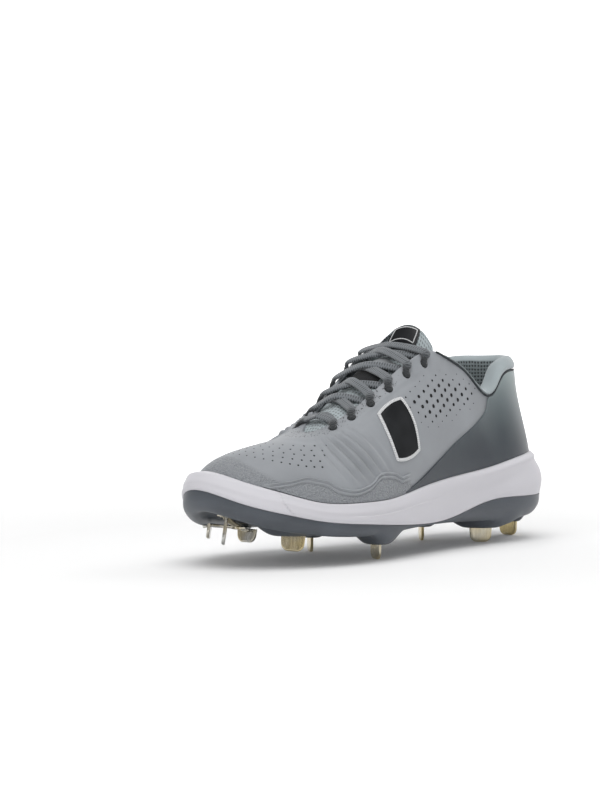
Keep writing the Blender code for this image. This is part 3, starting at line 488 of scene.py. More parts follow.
def through(points, at, closed=False):
    """Catmull-Rom curve through points (count, ..., xyz), read at places counted in
    points: on each stretch the cubic whose end slopes are half the neighbours' span."""
    points = np.asarray(points, float)
    count = len(points)
    at = np.asarray(at, float)
    i = np.floor(at).astype(int)
    if not closed:
        i = np.clip(i, 0, count - 2)
    u = (at - i).reshape((-1,) + (1,) * (points.ndim - 1))

    def place(step):
        return points[(i + step) % count] if closed else points[np.clip(i + step, 0, count - 1)]

    p, q, r, s = place(-1), place(0), place(1), place(2)
    return 0.5 * (2 * q + (r - p) * u + (2 * p - 5 * q + 4 * r - s) * u**2 + (3 * q - p - 3 * r + s) * u**3)


# The last and the sole


def seat_height(station):
    """Height of the sole's footbed at the feather line."""
    return around(FEATHER, "seat", "seat", station) * SEAT_HEIGHT


def feather_point(station):
    """Bottom edge of the upper's outer face."""
    x = around(FEATHER, "x", "x", station) * SHOE_LENGTH
    y = around(FEATHER, "outer", "inner", station) * BALL_WIDTH
    return np.stack([x, y, seat_height(station) + GAP], -1)


def topline_point(station):
    """Top edge of the upper: the collar, and the throat down to its foot."""
    x = around(TOPLINE, "x", "x", station) * SHOE_LENGTH
    y = around(TOPLINE, "outer", "inner", station) * BALL_WIDTH
    heel = around(TOPLINE, "heel", "heel", station) * HEEL_HEIGHT
    instep = around(TOPLINE, "instep", "instep", station) * INSTEP_HEIGHT
    return np.stack([x, y, SEAT_HEIGHT + heel + instep], -1)


def outline_normal(station):
    """Horizontal direction out of the feather line: its run turned a quarter."""
    small = 1e-3
    run = feather_point(np.asarray(station) + small) - feather_point(np.asarray(station) - small)
    flat = np.stack([run[..., 1], -run[..., 0], np.zeros_like(run[..., 0])], -1)
    return -unit(flat)


def wall_point(station, climb):
    """The upper's outer face: at each station a cubic Bezier arc from the feather line to
    the top edge, climb being its parameter."""
    station, climb = np.asarray(station, float), np.asarray(climb, float)
    low, high = feather_point(station), topline_point(station)
    normal = outline_normal(station)
    outward = unit((low - high) * [1, 1, 0] + normal * EDGE_TURN)
    side = fold(station)
    lean, rise, reach, drop = (
        around(SWELL, name, name, side)[..., None] * BALL_WIDTH
        for name in ("lean", "rise", "reach", "drop")
    )
    up = np.array([0.0, 0.0, 1.0])
    near_low = low + normal * lean + up * rise
    near_high = high + outward * reach - up * drop
    t = climb[..., None]
    lower = low * (1 - t) ** 3 + near_low * 3 * t * (1 - t) ** 2
    return lower + near_high * 3 * t * t * (1 - t) + high * t**3


def wall_normal(station, climb):
    """Direction out of the upper's outer face: the cross product of its two tangents."""
    small = 2e-3
    low = np.clip(np.asarray(climb, float) - small, 0, 1)
    high = np.clip(np.asarray(climb, float) + small, 0, 1)
    up = wall_point(station, high) - wall_point(station, low)
    run = wall_point(np.asarray(station) + small, climb) - wall_point(np.asarray(station) - small, climb)
    return unit(np.cross(up, run))


def upper_point(station, climb, out=0.0):
    """A point at a distance out from the upper's outer face, or in, if out is negative."""
    return wall_point(station, climb) + wall_normal(station, climb) * np.asarray(out, float)[..., None]


def climb_at_height(station, height):
    """How far up the wall a given height is met, found by halving."""
    low = np.zeros_like(np.asarray(station, float))
    high = np.full_like(low, HIGHEST_RIM)
    for _ in range(HALVINGS):
        middle = (low + high) / 2
        below = wall_point(station, middle)[..., 2] < height
        low = np.where(below, middle, low)
        high = np.where(below, high, middle)
    return (low + high) / 2


def sole_column(name, station):
    """A column of the sole's side table, round the shoe."""
    return around(SOLE_SIDE, name, name, fold(station))


def rim_height(station):
    """Height of the midsole's rim."""
    return sole_column("rim_z", station) * SEAT_HEIGHT


def sole_point(station, r_name, z_name):
    """A point of the sole's side, out from the feather line."""
    out = feather_point(station)
    out = out + outline_normal(station) * (sole_column(r_name, station) * BALL_WIDTH)[..., None]
    out[..., 2] = sole_column(z_name, station) * SEAT_HEIGHT
    return out


def spine_point(station, height):
    """The point of the shoe's middle line that a station's cross-section ends on."""
    side = fold(station)
    middle = (feather_point(side) + feather_point(2 - side)) / 2
    every = np.linspace(0, 1, 101)
    line = (feather_point(every) + feather_point(2 - every)) / 2
    centre = SHOE_LENGTH / 2
    x = centre + (middle[..., 0] - centre) * SPINE_SHARE
    y = (np.interp(x, line[:, 0], line[:, 1]) + middle[..., 1]) / 2
    return np.stack([x, y, height], -1)


def towards_spine(station, distance, height):
    """Points in from the feather line, along the cross-section to the spine."""
    start, end = feather_point(station), spine_point(station, height)
    moved = start + unit((end - start) * [1, 1, 0]) * distance
    moved[..., 2] = height
    return moved


def core_point(station, height):
    """Where the sole's flat part ends: in from the feather line, at a height."""
    point = feather_point(station) - outline_normal(station) * CORE_INSET
    point[:, 2] = height
    return point


def plate_top_height(station):
    """Height of the meeting of midsole and plate, under the foot."""
    return sole_column("base_z", station) * SEAT_HEIGHT + PLATE_THICKNESS


def above_rim(station):
    """The climb that clears the midsole's rim."""
    return climb_at_height(station, rim_height(station) + 3 * GAP)


def side_station(station, side):
    """A station of the outer side, or the one opposite it on the inner side."""
    return station if side > 0 else 2 - station


def nearest_station(x, y):
    """The station on the side of y whose cross-section passes a place under the foot."""
    side = 1 if y >= spine_point(np.array([0.5]), np.zeros(1))[0, 1] else -1
    every = side_station(np.linspace(0, 1, 201), side)
    start = spine_point(every, np.zeros(201))[:, :2]
    run = feather_point(every)[:, :2] - start
    to = np.array([x, y]) - start
    share = np.clip((to * run).sum(1) / (run * run).sum(1), 0, 1)
    return float(every[np.argmin(np.linalg.norm(to - run * share[:, None], axis=1))])


def spikes(rows):
    """The spikes of a table as dictionaries, with their real places."""
    found = []
    for row in rows[1:]:
        spike = dict(zip(rows[0], row))
        x, y = spike["x"] * SHOE_LENGTH, spike["y"] * BALL_WIDTH
        spike["station"] = nearest_station(x, y)
        height = spike.get("lift", 0.0) * SPIKE_DROP
        if spike["name"] == "fore_outer":
            top = float(plate_top_height(np.array([spike["station"]]))[0])
            height = top - 2 * GAP - SLOT_ROOF - SPIKE_ROOT - SPIKE_DROP
        turn = Matrix.Rotation(math.radians(-spike["pitch"]), 4, "Y")
        turn = turn @ Matrix.Rotation(math.radians(spike["turn"]), 4, "Z")
        spike["place"] = Matrix.Translation((x, y, height)) @ turn
        found.append(spike)
    return found


def frame_shift():
    """From the last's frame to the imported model's, read off one upright spike."""
    low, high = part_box("spike_ball_outer")
    row = next(row for row in SPIKES if row[0] == "ball_outer")
    return np.array([
        (low[0] + high[0]) / 2 - row[1] * SHOE_LENGTH, (low[1] + high[1]) / 2 - row[2] * BALL_WIDTH, 0.0
    ])


# Building meshes


class Form:
    """Points, quads, a UV pair for each quad corner and a finish number for each quad."""

    def __init__(self, points, quads, uv, finish=0):
        self.points = np.asarray(points, float).reshape(-1, 3)
        self.quads = np.asarray(quads)
        self.uv = np.asarray(uv, float)
        self.finish = np.broadcast_to(finish, len(self.quads)).astype(np.int32)


def tube_form(sections, ring=False, finish=0):
    """Closed loops of points, an array (row, point, xyz), joined row to row. ring joins the
    last row to the first; otherwise each end closes on its middle. UV runs in metres: u
    along the rows, v round the loop."""
    sections = np.asarray(sections, float)
    if not ring:
        first, last = sections[:1].mean(1, keepdims=True), sections[-1:].mean(1, keepdims=True)
        count = sections.shape[1]
        sections = np.concatenate([np.repeat(first, count, 1), sections, np.repeat(last, count, 1)])
    rows, count = sections.shape[:2]
    number = np.arange(rows * count).reshape(rows, count)
    if ring:
        number = np.concatenate([number, number[:1]])
    number = np.concatenate([number, number[:, :1]], 1)
    walk = np.concatenate([sections, sections[:1]]) if ring else sections
    walk = np.concatenate([walk, walk[:, :1]], 1)
    along_rows = np.linalg.norm(np.diff(walk, axis=0), axis=-1).mean(1)
    round_loop = np.linalg.norm(np.diff(walk, axis=1), axis=-1).mean(0)
    u = np.concatenate([[0], np.cumsum(along_rows)])
    v = np.concatenate([[0], np.cumsum(round_loop)])
    grid = np.stack(np.meshgrid(u, v, indexing="ij"), -1)

    def corners(values):
        each = [values[:-1, :-1], values[1:, :-1], values[1:, 1:], values[:-1, 1:]]
        return np.stack(each, 2).reshape((-1, 4) + values.shape[2:])

    return Form(sections, corners(number), corners(grid), finish)


def ring_form(profile):
    """Lines round the shoe, an array (line, station, xyz), as one closed ring."""
    return tube_form(profile.transpose(1, 0, 2), ring=True)


def between(start, end, shares):
    """Lines at shares of the way from one line to another."""
    return [start + (end - start) * share for share in shares]


def squared_circle(count, power=1.0):
    """Cosines and sines round a circle, each to a power that squares it off below 1."""
    turn = np.linspace(0, math.tau, count, endpoint=False)
    return [np.sign(wave(turn)) * abs(wave(turn)) ** power for wave in (np.cos, np.sin)]


def hole_ring(normal, count, wide=1.0, high=1.0):
    """An oval round a wall's normal, wide across and high up the wall."""
    across = unit(np.cross(normal, [0, 0, 1.0]))
    cosine, sine = squared_circle(count)
    return cosine[:, None] * across * wide + sine[:, None] * np.cross(across, normal) * high


def border(values):
    """A grid's values once round its edge."""
    return np.concatenate([values[:-1, 0], values[-1, :-1], values[:0:-1, -1], values[0, :0:-1]])


def joined(forms):
    """Several forms as one."""
    start, points, quads = 0, [], []
    for form in forms:
        points.append(form.points)
        quads.append(form.quads + start)
        start += len(form.points)
    return Form(
        np.concatenate(points), np.concatenate(quads), np.concatenate([form.uv for form in forms]),
        np.concatenate([form.finish for form in forms]),
    )


def outwards(form):
    """The form with its faces pointing out: the signed volume of its quads is positive."""
    a, b, c, d = (form.points[form.quads[:, k]] for k in range(4))
    volume = (np.cross(a, b) * c).sum() + (np.cross(a, c) * d).sum()
    if volume < 0:
        form.quads = form.quads[:, ::-1]
        form.uv = form.uv[:, ::-1]
    return form


def new_object(name, data):
    """An object in the scene's own collection."""
    made = bpy.data.objects.new(name, data)
    bpy.context.scene.collection.objects.link(made)
    return made


def plain_mesh(name, points, quads):
    """A bare mesh from points in the last's frame."""
    mesh = bpy.data.meshes.new(name)
    mesh.from_pydata((points + frame_shift()).tolist(), [], quads.tolist())
    return mesh


def make_piece(name, forms, finishes, sharp=40, masks=None):
    """A finished piece at the origin from forms in the last's frame. masks are values for
    each point, kept as attributes that the finish reads."""
    form = joined([outwards(form) for form in forms])
    mesh = bpy.data.meshes.new(name)
    count = len(form.quads)
    mesh.vertices.add(len(form.points))
    mesh.vertices.foreach_set("co", (form.points + frame_shift()).ravel())
    mesh.loops.add(count * 4)
    mesh.loops.foreach_set("vertex_index", form.quads.ravel().astype(np.int32))
    mesh.polygons.add(count)
    mesh.polygons.foreach_set("loop_start", np.arange(0, count * 4, 4, dtype=np.int32))
    mesh.polygons.foreach_set("material_index", form.finish)
    mesh.update(calc_edges=True)
    layer = mesh.uv_layers.new(name="surface")
    layer.data.foreach_set("uv", form.uv.ravel().astype(np.float32))
    for label, values in (masks or {}).items():
        attribute = mesh.attributes.new(label, "FLOAT", "POINT")
        attribute.data.foreach_set("value", np.asarray(values, np.float32).ravel())
    for finish in finishes:
        mesh.materials.append(finish)
    weld(mesh)
    mesh.shade_smooth()
    mesh.set_sharp_from_angle(angle=math.radians(sharp))
    piece = new_object(name, mesh)
    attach(piece, "root")
    return piece


def weld(mesh):
    """Merges the points of seams and poles and drops the faces that this flattens."""
    edit = bmesh.new()
    edit.from_mesh(mesh)
    bmesh.ops.remove_doubles(edit, verts=edit.verts, dist=2e-6)
    bmesh.ops.dissolve_degenerate(edit, edges=edit.edges, dist=1e-7)
    edit.to_mesh(mesh)
    edit.free()


def sheet_form(face, back, finish=0):
    """A thin sheet: sections run over its face and back under it."""
    return tube_form(np.concatenate([face, back[:, ::-1]], axis=1), finish=finish)


def skin_form(station, climb, low, high):
    """A thin skin on the wall over a grid of stations and climbs, from low to high above."""
    return sheet_form(upper_point(station, climb, high), upper_point(station, climb, low))


def face_mask(values):
    """Values of a skin's face for all its points: 0 on its back, and the first and last
    row once more for the closed ends."""
    both = np.concatenate([values, np.zeros_like(values)], 1)
    return np.concatenate([both[:1], both, both[-1:]])


def bead_form(path, normals, half_width, half_height, sides=10, power=2.0, closed=False, finish=0):
    """A cord along a path: superellipse sections, wide across and high along the normals,
    their halves given once or for each place. Open ends round off over one half height."""
    path, normals = np.asarray(path, float), np.asarray(normals, float)
    half_width = np.broadcast_to(half_width, len(path))
    half_height = np.broadcast_to(half_height, len(path))
    if closed:
        run = unit(np.roll(path, -1, 0) - np.roll(path, 1, 0))
    else:
        run = unit(np.gradient(path, axis=0))
    across = unit(np.cross(run, normals))
    up = unit(np.cross(across, run))
    size = np.ones(len(path))
    if not closed:
        back = np.linspace(1, 0, CAP_ROWS + 1)[:-1]
        ahead = np.linspace(0, 1, CAP_ROWS + 1)[1:]
        ease = np.sqrt(1 - back**2)
        head = path[:1] - run[:1] * half_height[0] * back[:, None]
        tail = path[-1:] + run[-1:] * half_height[-1] * ahead[:, None]
        path = np.concatenate([head, path, tail])
        half_width, half_height = (np.pad(half, CAP_ROWS, "edge") for half in (half_width, half_height))
        across, up = (np.pad(way, ((CAP_ROWS, CAP_ROWS), (0, 0)), "edge") for way in (across, up))
        size = np.concatenate([ease, size, ease[::-1]])
    cosine, sine = squared_circle(sides, 2 / power)
    wide = cosine * half_width[:, None]
    high = sine * half_height[:, None]
    ring = wide[..., None] * across[:, None] + high[..., None] * up[:, None]
    return tube_form(path[:, None] + ring * size[:, None, None], ring=closed, finish=finish)


# Finishes


class Finish:
    """A Principled finish under construction, with short ways to add nodes."""

    def __init__(self, name, colour, roughness, metallic=0.0, **fixed):
        self.material = bpy.data.materials.new(name)
        self.material.use_nodes = True
        self.tree = self.material.node_tree
        self.shader = self.tree.nodes["Principled BSDF"]
        self.set("Base Color", (*colour, 1))
        self.set("Roughness", roughness)
        self.set("Metallic", metallic)
        for socket, value in fixed.items():
            self.set(socket.replace("_", " "), value)
        self.material.diffuse_color = (*colour, 1)
        coordinates = self.tree.nodes.new("ShaderNodeTexCoord")
        self.object = coordinates.outputs["Object"]
        self.uv = coordinates.outputs["UV"]

    def set(self, socket, value):
        """Sets or links one of the shader's own sockets."""
        self.plug(self.shader.inputs[socket], value)

    def plug(self, socket, value):
        """Links a node's output, or sets a plain value."""
        if isinstance(value, bpy.types.NodeSocket):
            self.tree.links.new(value, socket)
        else:
            socket.default_value = value

    def node(self, kind, inputs, output=0, **settings):
        """A node with its settings and inputs, and the output that is used."""
        made = self.tree.nodes.new(kind)
        for key, value in settings.items():
            setattr(made, key, value)
        for key, value in inputs.items():
            self.plug(made.inputs[key], value)
        return made.outputs[output]

    def scaled(self, place, scale, turn=(0, 0, 0)):
        """Coordinates turned and stretched."""
        return self.node("ShaderNodeMapping", {"Vector": place, "Scale": scale, "Rotation": turn})

    def noise(self, scale, detail=3.0, place=None, rough=0.5):
        """Soft random values about one half."""
        return self.node("ShaderNodeTexNoise", {
            "Vector": place or self.object, "Scale": scale, "Detail": detail, "Roughness": rough,
        })

    def cells(self, scale, place=None, feature="F1", random=1.0):
        """Distance to the nearest of scattered points, in cells."""
        return self.node("ShaderNodeTexVoronoi", {
            "Vector": place or self.object, "Scale": scale, "Randomness": random,
        }, feature=feature)

    def wave(self, scale, place, direction="X"):
        """Stripes, a sine along one axis."""
        inputs = {"Vector": place, "Scale": scale, "Distortion": 0.0}
        return self.node("ShaderNodeTexWave", inputs, output=1, bands_direction=direction)

    def mask(self, name):
        """A value kept on the piece's points."""
        return self.node("ShaderNodeAttribute", {}, output=2, attribute_name=name)

    def range(self, value, low, high, to_low=0.0, to_high=1.0):
        """A value carried from one range to another and held at its ends."""
        return self.node("ShaderNodeMapRange", {
            "Value": value, "From Min": low, "From Max": high, "To Min": to_low, "To Max": to_high,
        })

    def maths(self, operation, first, second=0.0):
        """One sum of two values."""
        return self.node("ShaderNodeMath", {0: first, 1: second}, operation=operation)

    def times(self, first, second):
        """The product of two values."""
        return self.maths("MULTIPLY", first, second)

    def tones(self, share, colour, dark, light):
        """A colour from a darker to a lighter shade of itself by a share."""
        return self.blend(share, shade(colour, dark), shade(colour, light))

    def clouded(self, value, colour, dark, light):
        """A colour that drifts between two shades of itself with a soft random value."""
        return self.tones(self.range(value, 0.3, 0.7), colour, dark, light)

    def uneven(self, value, low, high):
        """Roughness that drifts between two limits with a soft random value."""
        self.set("Roughness", self.range(value, 0.3, 0.7, low, high))

    def mesh_holes(self, counts, random, edge):
        """1 in the holes of an open mesh laid by UV, 0 on its threads."""
        hole = self.cells(1.0, place=self.scaled(self.uv, (*counts, 1)), random=random)
        return self.range(hole, edge, edge + 0.18, 1.0, 0.0)

    def blend(self, share, first, second):
        """Two colours mixed by a share."""
        made = self.tree.nodes.new("ShaderNodeMix")
        made.data_type = "RGBA"
        for key, value in ((0, share), (6, first), (7, second)):
            if key and not isinstance(value, bpy.types.NodeSocket):
                value = (*value, 1)
            self.plug(made.inputs[key], value)
        return made.outputs[2]

    def part_of(self, vector, axis):
        """One axis of a vector."""
        split = self.tree.nodes.new("ShaderNodeSeparateXYZ")
        self.plug(split.inputs[0], vector)
        return split.outputs[axis]

    def relief(self, *layers):
        """Bump layers, each a height, a strength and a depth in metres, one on another."""
        normal = None
        for height, strength, distance in layers:
            inputs = {"Height": height, "Strength": strength, "Distance": distance}
            if normal:
                inputs["Normal"] = normal
            normal = self.node("ShaderNodeBump", inputs)
        self.set("Normal", normal)


def shade(colour, share):
    """A colour made lighter or darker by a share."""
    return tuple(min(1.0, channel * share) for channel in colour)


def synthetic_finish():
    """Matt coated synthetic: cloudy tone, fine nap, pebbled where the grain mask says and
    pricked with tiny pits where the stipple mask says, the pits darkened with painted shade,
    and painted shade in the grooves and crease bottoms that the groove mask marks."""
    colour = tint("upper")
    finish = Finish(
        "grey_synthetic_skin", colour, 0.52, Specular_IOR_Level=0.42, Sheen_Weight=0.08, Sheen_Roughness=0.4
    )
    cloud = finish.noise(45.0, 4.0)
    fine = finish.noise(1900.0, 2.0)
    pebble = finish.cells(1050.0, feature="SMOOTH_F1")
    pit = finish.range(finish.cells(620.0), 0.22, 0.34, 1.0, 0.0)
    pit = finish.times(pit, finish.mask("stipple"))
    grain = finish.mask("grain")
    tone = finish.clouded(cloud, colour, 0.93, 1.07)
    speck = finish.times(finish.range(pebble, 0.2, 0.6), grain)
    tone = finish.blend(speck, tone, shade(colour, 0.80))
    # The stipple pits are darkened with painted shade
    tone = finish.blend(pit, tone, shade(colour, 0.18))
    # Painted shade darkens the upper in the ribs' grooves, in the bottoms of the creases and beside the
    # rand's welts
    tone = finish.blend(finish.times(finish.mask("groove"), 0.7), tone, shade(colour, 0.40))
    finish.set("Base Color", tone)
    finish.uneven(cloud, 0.47, 0.57)
    height = finish.times(finish.range(pebble, 0.1, 0.8, 1.0, 0.0), grain)
    pricks = (finish.times(pit, -1.0), 0.6, 0.0003)
    finish.relief((height, 1.0, 0.0006), pricks, (fine, 0.16, 0.0001))
    return finish.material


def lining_finish():
    """Open mesh lining: a honeycomb of dark holes in the cloth, laid by UV."""
    colour = tint("lining")
    finish = Finish("mesh_lining", colour, 0.9, Sheen_Weight=0.25, Sheen_Roughness=0.5)
    hole = finish.mesh_holes((430, 500), 0.12, 0.22)
    finish.set("Base Color", finish.tones(hole, colour, 1.15, 0.28))
    finish.relief((finish.times(hole, -1.0), 0.9, 0.0006), (finish.noise(2600.0), 0.3, 0.0001))
    return finish.material


def knit_finish(name="padded_knit", holes=False):
    """Fine knit: rows of small stitches by UV, and on the tongue a dotted mesh."""
    colour = tint("knit")
    finish = Finish(name, colour, 0.82, Sheen_Weight=0.35, Sheen_Roughness=0.45, Specular_IOR_Level=0.3)
    weave = finish.times(finish.wave(330.0, finish.uv, "Y"), finish.wave(420.0, finish.uv))
    cloud = finish.noise(60.0, 3.0)
    tone = finish.clouded(cloud, colour, 0.92, 1.06)
    layers = [(weave, 0.30, 0.00025), (finish.noise(2400.0), 0.25, 0.0001)]
    if holes:
        hole = finish.mesh_holes((360, 430), 0.08, 0.20)
        tone = finish.tones(hole, colour, 1.22, 0.70)
        layers.insert(0, (finish.times(hole, -1.0), 0.8, 0.0006))
    finish.set("Base Color", tone)
    finish.relief(*layers)
    return finish.material


def counter_finish():
    """Satin film round the heel with painted sheen: darker low down, paler and greener towards the collar as
    painted light, and soft random patches of the paler painted sheen.
    """
    low, high = tint("counter"), tint("counter_sheen")
    finish = Finish("counter_film", low, 0.42, Specular_IOR_Level=0.5, Coat_Weight=0.12, Coat_Roughness=0.35)
    # Painted light: the counter goes from its dark colour low down to the paler painted-sheen colour near
    # the collar
    rise = finish.range(finish.part_of(finish.object, 2), SEAT_HEIGHT * 1.5, SEAT_HEIGHT + HEEL_HEIGHT)
    cloud = finish.noise(30.0, 3.0)
    tone = finish.blend(finish.times(rise, rise), low, high)
    # Soft random patches of the paler painted sheen
    wear_and_sheen = finish.blend(finish.range(cloud, 0.35, 0.75, 0.0, 0.12), tone, shade(high, 0.9))
    finish.set("Base Color", wear_and_sheen)
    finish.uneven(cloud, 0.36, 0.48)
    finish.relief((finish.noise(1500.0, 2.0), 0.10, 0.0001))
    return finish.material


def film_finish(name, colour, roughness):
    """Smooth bonded film with a faint orange-peel."""
    finish = Finish(name, colour, roughness, Specular_IOR_Level=0.32, Coat_Weight=0.14, Coat_Roughness=0.22)
    cloud = finish.noise(120.0, 3.0)
    finish.set("Base Color", finish.clouded(cloud, colour, 0.8, 1.25))
    finish.uneven(cloud, roughness * 0.85, roughness * 1.2)
    finish.relief((finish.noise(700.0, 2.0), 0.12, 0.0001))
    return finish.material


def thread_finish():
    """Closely laid thread: slanting strands across the cord, by UV, with painted shade between the strands.
    """
    colour = tint("thread")
    finish = Finish("edging_thread", colour, 0.62, Sheen_Weight=0.2, Sheen_Roughness=0.4)
    place = finish.scaled(finish.uv, (1, 0.7, 1), (0, 0, math.radians(18)))
    strand = finish.wave(THREAD_STRANDS / math.tau, place)
    # Painted shade between the strands
    finish.set("Base Color", finish.blend(strand, shade(colour, 0.72), colour))
    finish.relief((strand, 0.9, 0.0004))
    return finish.material


def foam_finish():
    """Moulded foam: fine skin pits and faint clouding."""
    colour = tint("foam")
    finish = Finish("moulded_foam", colour, 0.55, Specular_IOR_Level=0.4, Subsurface_Weight=0.06)
    finish.set("Subsurface Radius", (0.004, 0.004, 0.004))
    finish.set("Subsurface Scale", 0.5)
    cloud = finish.noise(28.0, 4.0)
    finish.set("Base Color", finish.blend(finish.range(cloud, 0.3, 0.75), shade(colour, 0.955), colour))
    finish.uneven(cloud, 0.48, 0.62)
    finish.relief((finish.noise(1300.0, 3.0), 0.10, 0.00015), (finish.cells(900.0), 0.05, 0.0001))
    return finish.material


def plate_finish():
    """Moulded plate: satin skin, soft flow marks and light scuffs scattered by noise."""
    colour = tint("plate")
    finish = Finish("moulded_plate", colour, 0.42, Specular_IOR_Level=0.5)
    flow = finish.noise(38.0, 4.0, place=finish.scaled(finish.object, (1, 1, 2.5)))
    scuff = finish.noise(420.0, 5.0, rough=0.7)
    tone = finish.clouded(flow, colour, 0.86, 1.16)
    wear_and_sheen = finish.range(scuff, 0.62, 0.74, 0.0, 0.35)
    finish.set("Base Color", finish.blend(wear_and_sheen, tone, shade(colour, 1.7)))
    finish.uneven(flow, 0.34, 0.50)
    finish.relief((finish.noise(900.0, 3.0), 0.10, 0.00015))
    return finish.material


def lace_finish():
    """Woven lace: a herringbone of two slanting sets of strands, by UV, with painted highlight on the
    strands, painted shade between them, and painted shade where the lace goes into a hole.
    """
    colour = tint("lace")
    finish = Finish(
        "woven_lace", colour, 0.78, Sheen_Weight=0.4, Sheen_Roughness=0.45, Specular_IOR_Level=0.3
    )
    one, two = (
        finish.wave(LACE_STRANDS, finish.scaled(finish.uv, (1, 1, 1), (0, 0, math.radians(slant))))
        for slant in (LACE_SLANT, -LACE_SLANT)
    )
    weave = finish.maths("MAXIMUM", one, two)
    # The strands' tops are lighter as painted highlight, and the gaps between them darker as painted shade
    tone = finish.tones(finish.range(weave, 0.35, 0.95), colour, 0.50, 1.30)
    # Painted shade where the lace goes into a hole
    finish.set("Base Color", finish.blend(finish.mask("near_hole"), tone, shade(colour, 0.25)))
    finish.relief((weave, 0.9, 0.0004), (finish.noise(3000.0), 0.3, 0.0001))
    return finish.material


def steel_finish(name, gold):
    """Plated steel: gold tint that comes and goes, and fine brushing."""
    finish = Finish(name, tint("steel"), 0.22, metallic=1.0)
    cloud = finish.noise(70.0, 3.0)
    brush = finish.noise(900.0, 2.0, place=finish.scaled(finish.object, (1, 1, 0.08)))
    share = finish.range(cloud, 0.35, 0.65, max(0.0, gold - 0.35), min(1.0, gold + 0.3))
    finish.set("Base Color", finish.blend(share, tint("steel"), tint("gilt")))
    finish.uneven(brush, 0.14, 0.30)
    finish.relief((brush, 0.12, 0.0001))
    return finish.material


def cloth_finish(name, colour, scale):
    """Plain woven cloth: two sets of strands at right angles, by UV, with painted highlight where they cross
    and painted shade between them.
    """
    finish = Finish(name, colour, 0.88, Sheen_Weight=0.1, Sheen_Roughness=0.5)
    weave = finish.times(finish.wave(scale, finish.uv), finish.wave(scale, finish.uv, "Y"))
    # Painted highlight where the strands cross and painted shade between them
    finish.set("Base Color", finish.tones(weave, colour, 0.7, 1.2))
    finish.relief((weave, 0.6, 0.0003), (finish.noise(2600.0), 0.3, 0.0001))
    return finish.material


MADE_FINISHES = {}


def shared(maker, *arguments, **words):
    """A finish made once for all the pieces that wear it."""
    key = maker.__name__ + repr(arguments) + repr(sorted(words.items()))
    if key not in MADE_FINISHES:
        MADE_FINISHES[key] = maker(*arguments, **words)
    return MADE_FINISHES[key]


# The upper


def share_from_edge(station, climb):
    """Rough distance down the wall from the top edge, in metres."""
    height = np.linalg.norm(topline_point(station) - feather_point(station), axis=-1)
    return (1 - climb) * height


def flex_relief(station, climb):
    """Soft creases across the forefoot: cosine ridges where station minus a share of the
    climb is steady, fading towards the sole, the throat and the ends of the set."""
    side = fold(station)
    line = (side - FLEX_LEAN * climb - FLEX_FIRST) / FLEX_STEP
    ridge = 0.5 + 0.5 * np.cos(math.tau * line)
    middle = FLEX_COUNT / 2
    inside = hump(line, middle, middle + 0.9)
    reach = smooth(0.26, 0.44, climb) * (1 - smooth(0.66 + 0.03 * (middle - line), 0.90, climb))
    return (ridge - 0.5) * inside * reach * sizes().crease_depth * 1.5


def rib_coordinates(points, ribs):
    """Where points lie among parallel ribs: rib number, share of the way along, and the
    share at which that rib ends."""
    first, step, run = (np.array(pair) * SHOE_LENGTH for pair in ribs[:3])
    count, shorter = ribs[3:]
    length = np.linalg.norm(run)
    way = run / length
    side = np.array([way[1], -way[0]])
    dx, dz = points[..., 0] - first[0], points[..., 2] - first[1]
    number = (dx * side[0] + dz * side[1]) / (step @ side)
    start = number * (step @ way)
    share = (dx * way[0] + dz * way[1] - start) / length
    return number, share, 1.0 - shorter * np.clip(number, 0, count)


def rib_profile(points, ribs):
    """Raised ribs with round ends: a cosine to the power across, a flat hump along."""
    number, share, end = rib_coordinates(points, ribs)
    count = ribs[3]
    across = np.clip(0.5 + 0.5 * np.cos(math.tau * number), 0, 1) ** 0.5
    inside = smooth(-0.52, -0.38, number) * (1 - smooth(count - 0.62, count - 0.48, number))
    lengthwise = smooth(0.0, 0.12, share) * (1 - smooth(end - 0.12, end, share))
    return across * inside * lengthwise


def groove_shade_mask(points):
    """1 in the grooves between the inner quarter's ribs, where the upper gets painted shade."""
    masks = []
    for ribs in (LONG_RIBS, SHORT_RIBS):
        number, share, end = rib_coordinates(points, ribs)
        count = ribs[3]
        field = smooth(-0.75, -0.55, number) * smooth(count - 0.25, count - 0.45, number)
        field = field * smooth(-0.02, 0.06, share) * smooth(end + 0.02, end - 0.06, share)
        masks.append(field * smooth(0.30, 0.48, abs(number - np.round(number))))
    return np.maximum(*masks)


def upper_relief(station, climb):
    """All that stands out of or into the wall, as a distance along its normal: the flex
    creases, the inner quarter's ribs, the raised eyestay and the dip beside it."""
    side, points = fold(station), wall_point(station, climb)
    below = share_from_edge(station, climb)
    ribs = (rib_profile(points, LONG_RIBS) + 0.8 * rib_profile(points, SHORT_RIBS)) * sizes().rib_height
    ribs = np.where(np.mod(station, 2.0) > 1, ribs, 0.0)
    eyestay = smooth(0.016, 0.012, below) * smooth(0.40, 0.47, side)
    pinch = -0.0005 * hump(below, 0.0165, 0.0035) * smooth(0.46, 0.54, side)
    pinch = pinch * (1 - smooth(0.84, 0.95, side))
    return flex_relief(station, climb) + ribs + 0.00025 * eyestay + pinch * 0.6


def grain_mask(station, climb):
    """1 where the forefoot is pebbled: below the rand's line, and round the toe cap."""
    side = fold(station)
    low = above_rim_cached(side)
    up = (climb - low) / (1 - low)
    toe_line = (0.14 + 0.12 * smooth(0.88, 1.0, side)) * smooth(0.82, 0.90, side)
    rand_line = np.maximum(np.where(side < 0.895, along(RAND_TOP, "up", side), 0), toe_line)
    fade = smooth(rand_line + 0.03, rand_line - 0.03, up)
    return fade * smooth(0.56, 0.60, side)


def above_rim_cached(side):
    """above_rim read off a fine line, for large grids."""
    every = np.linspace(0, 1, 401)
    return np.interp(side, every, above_rim(every))


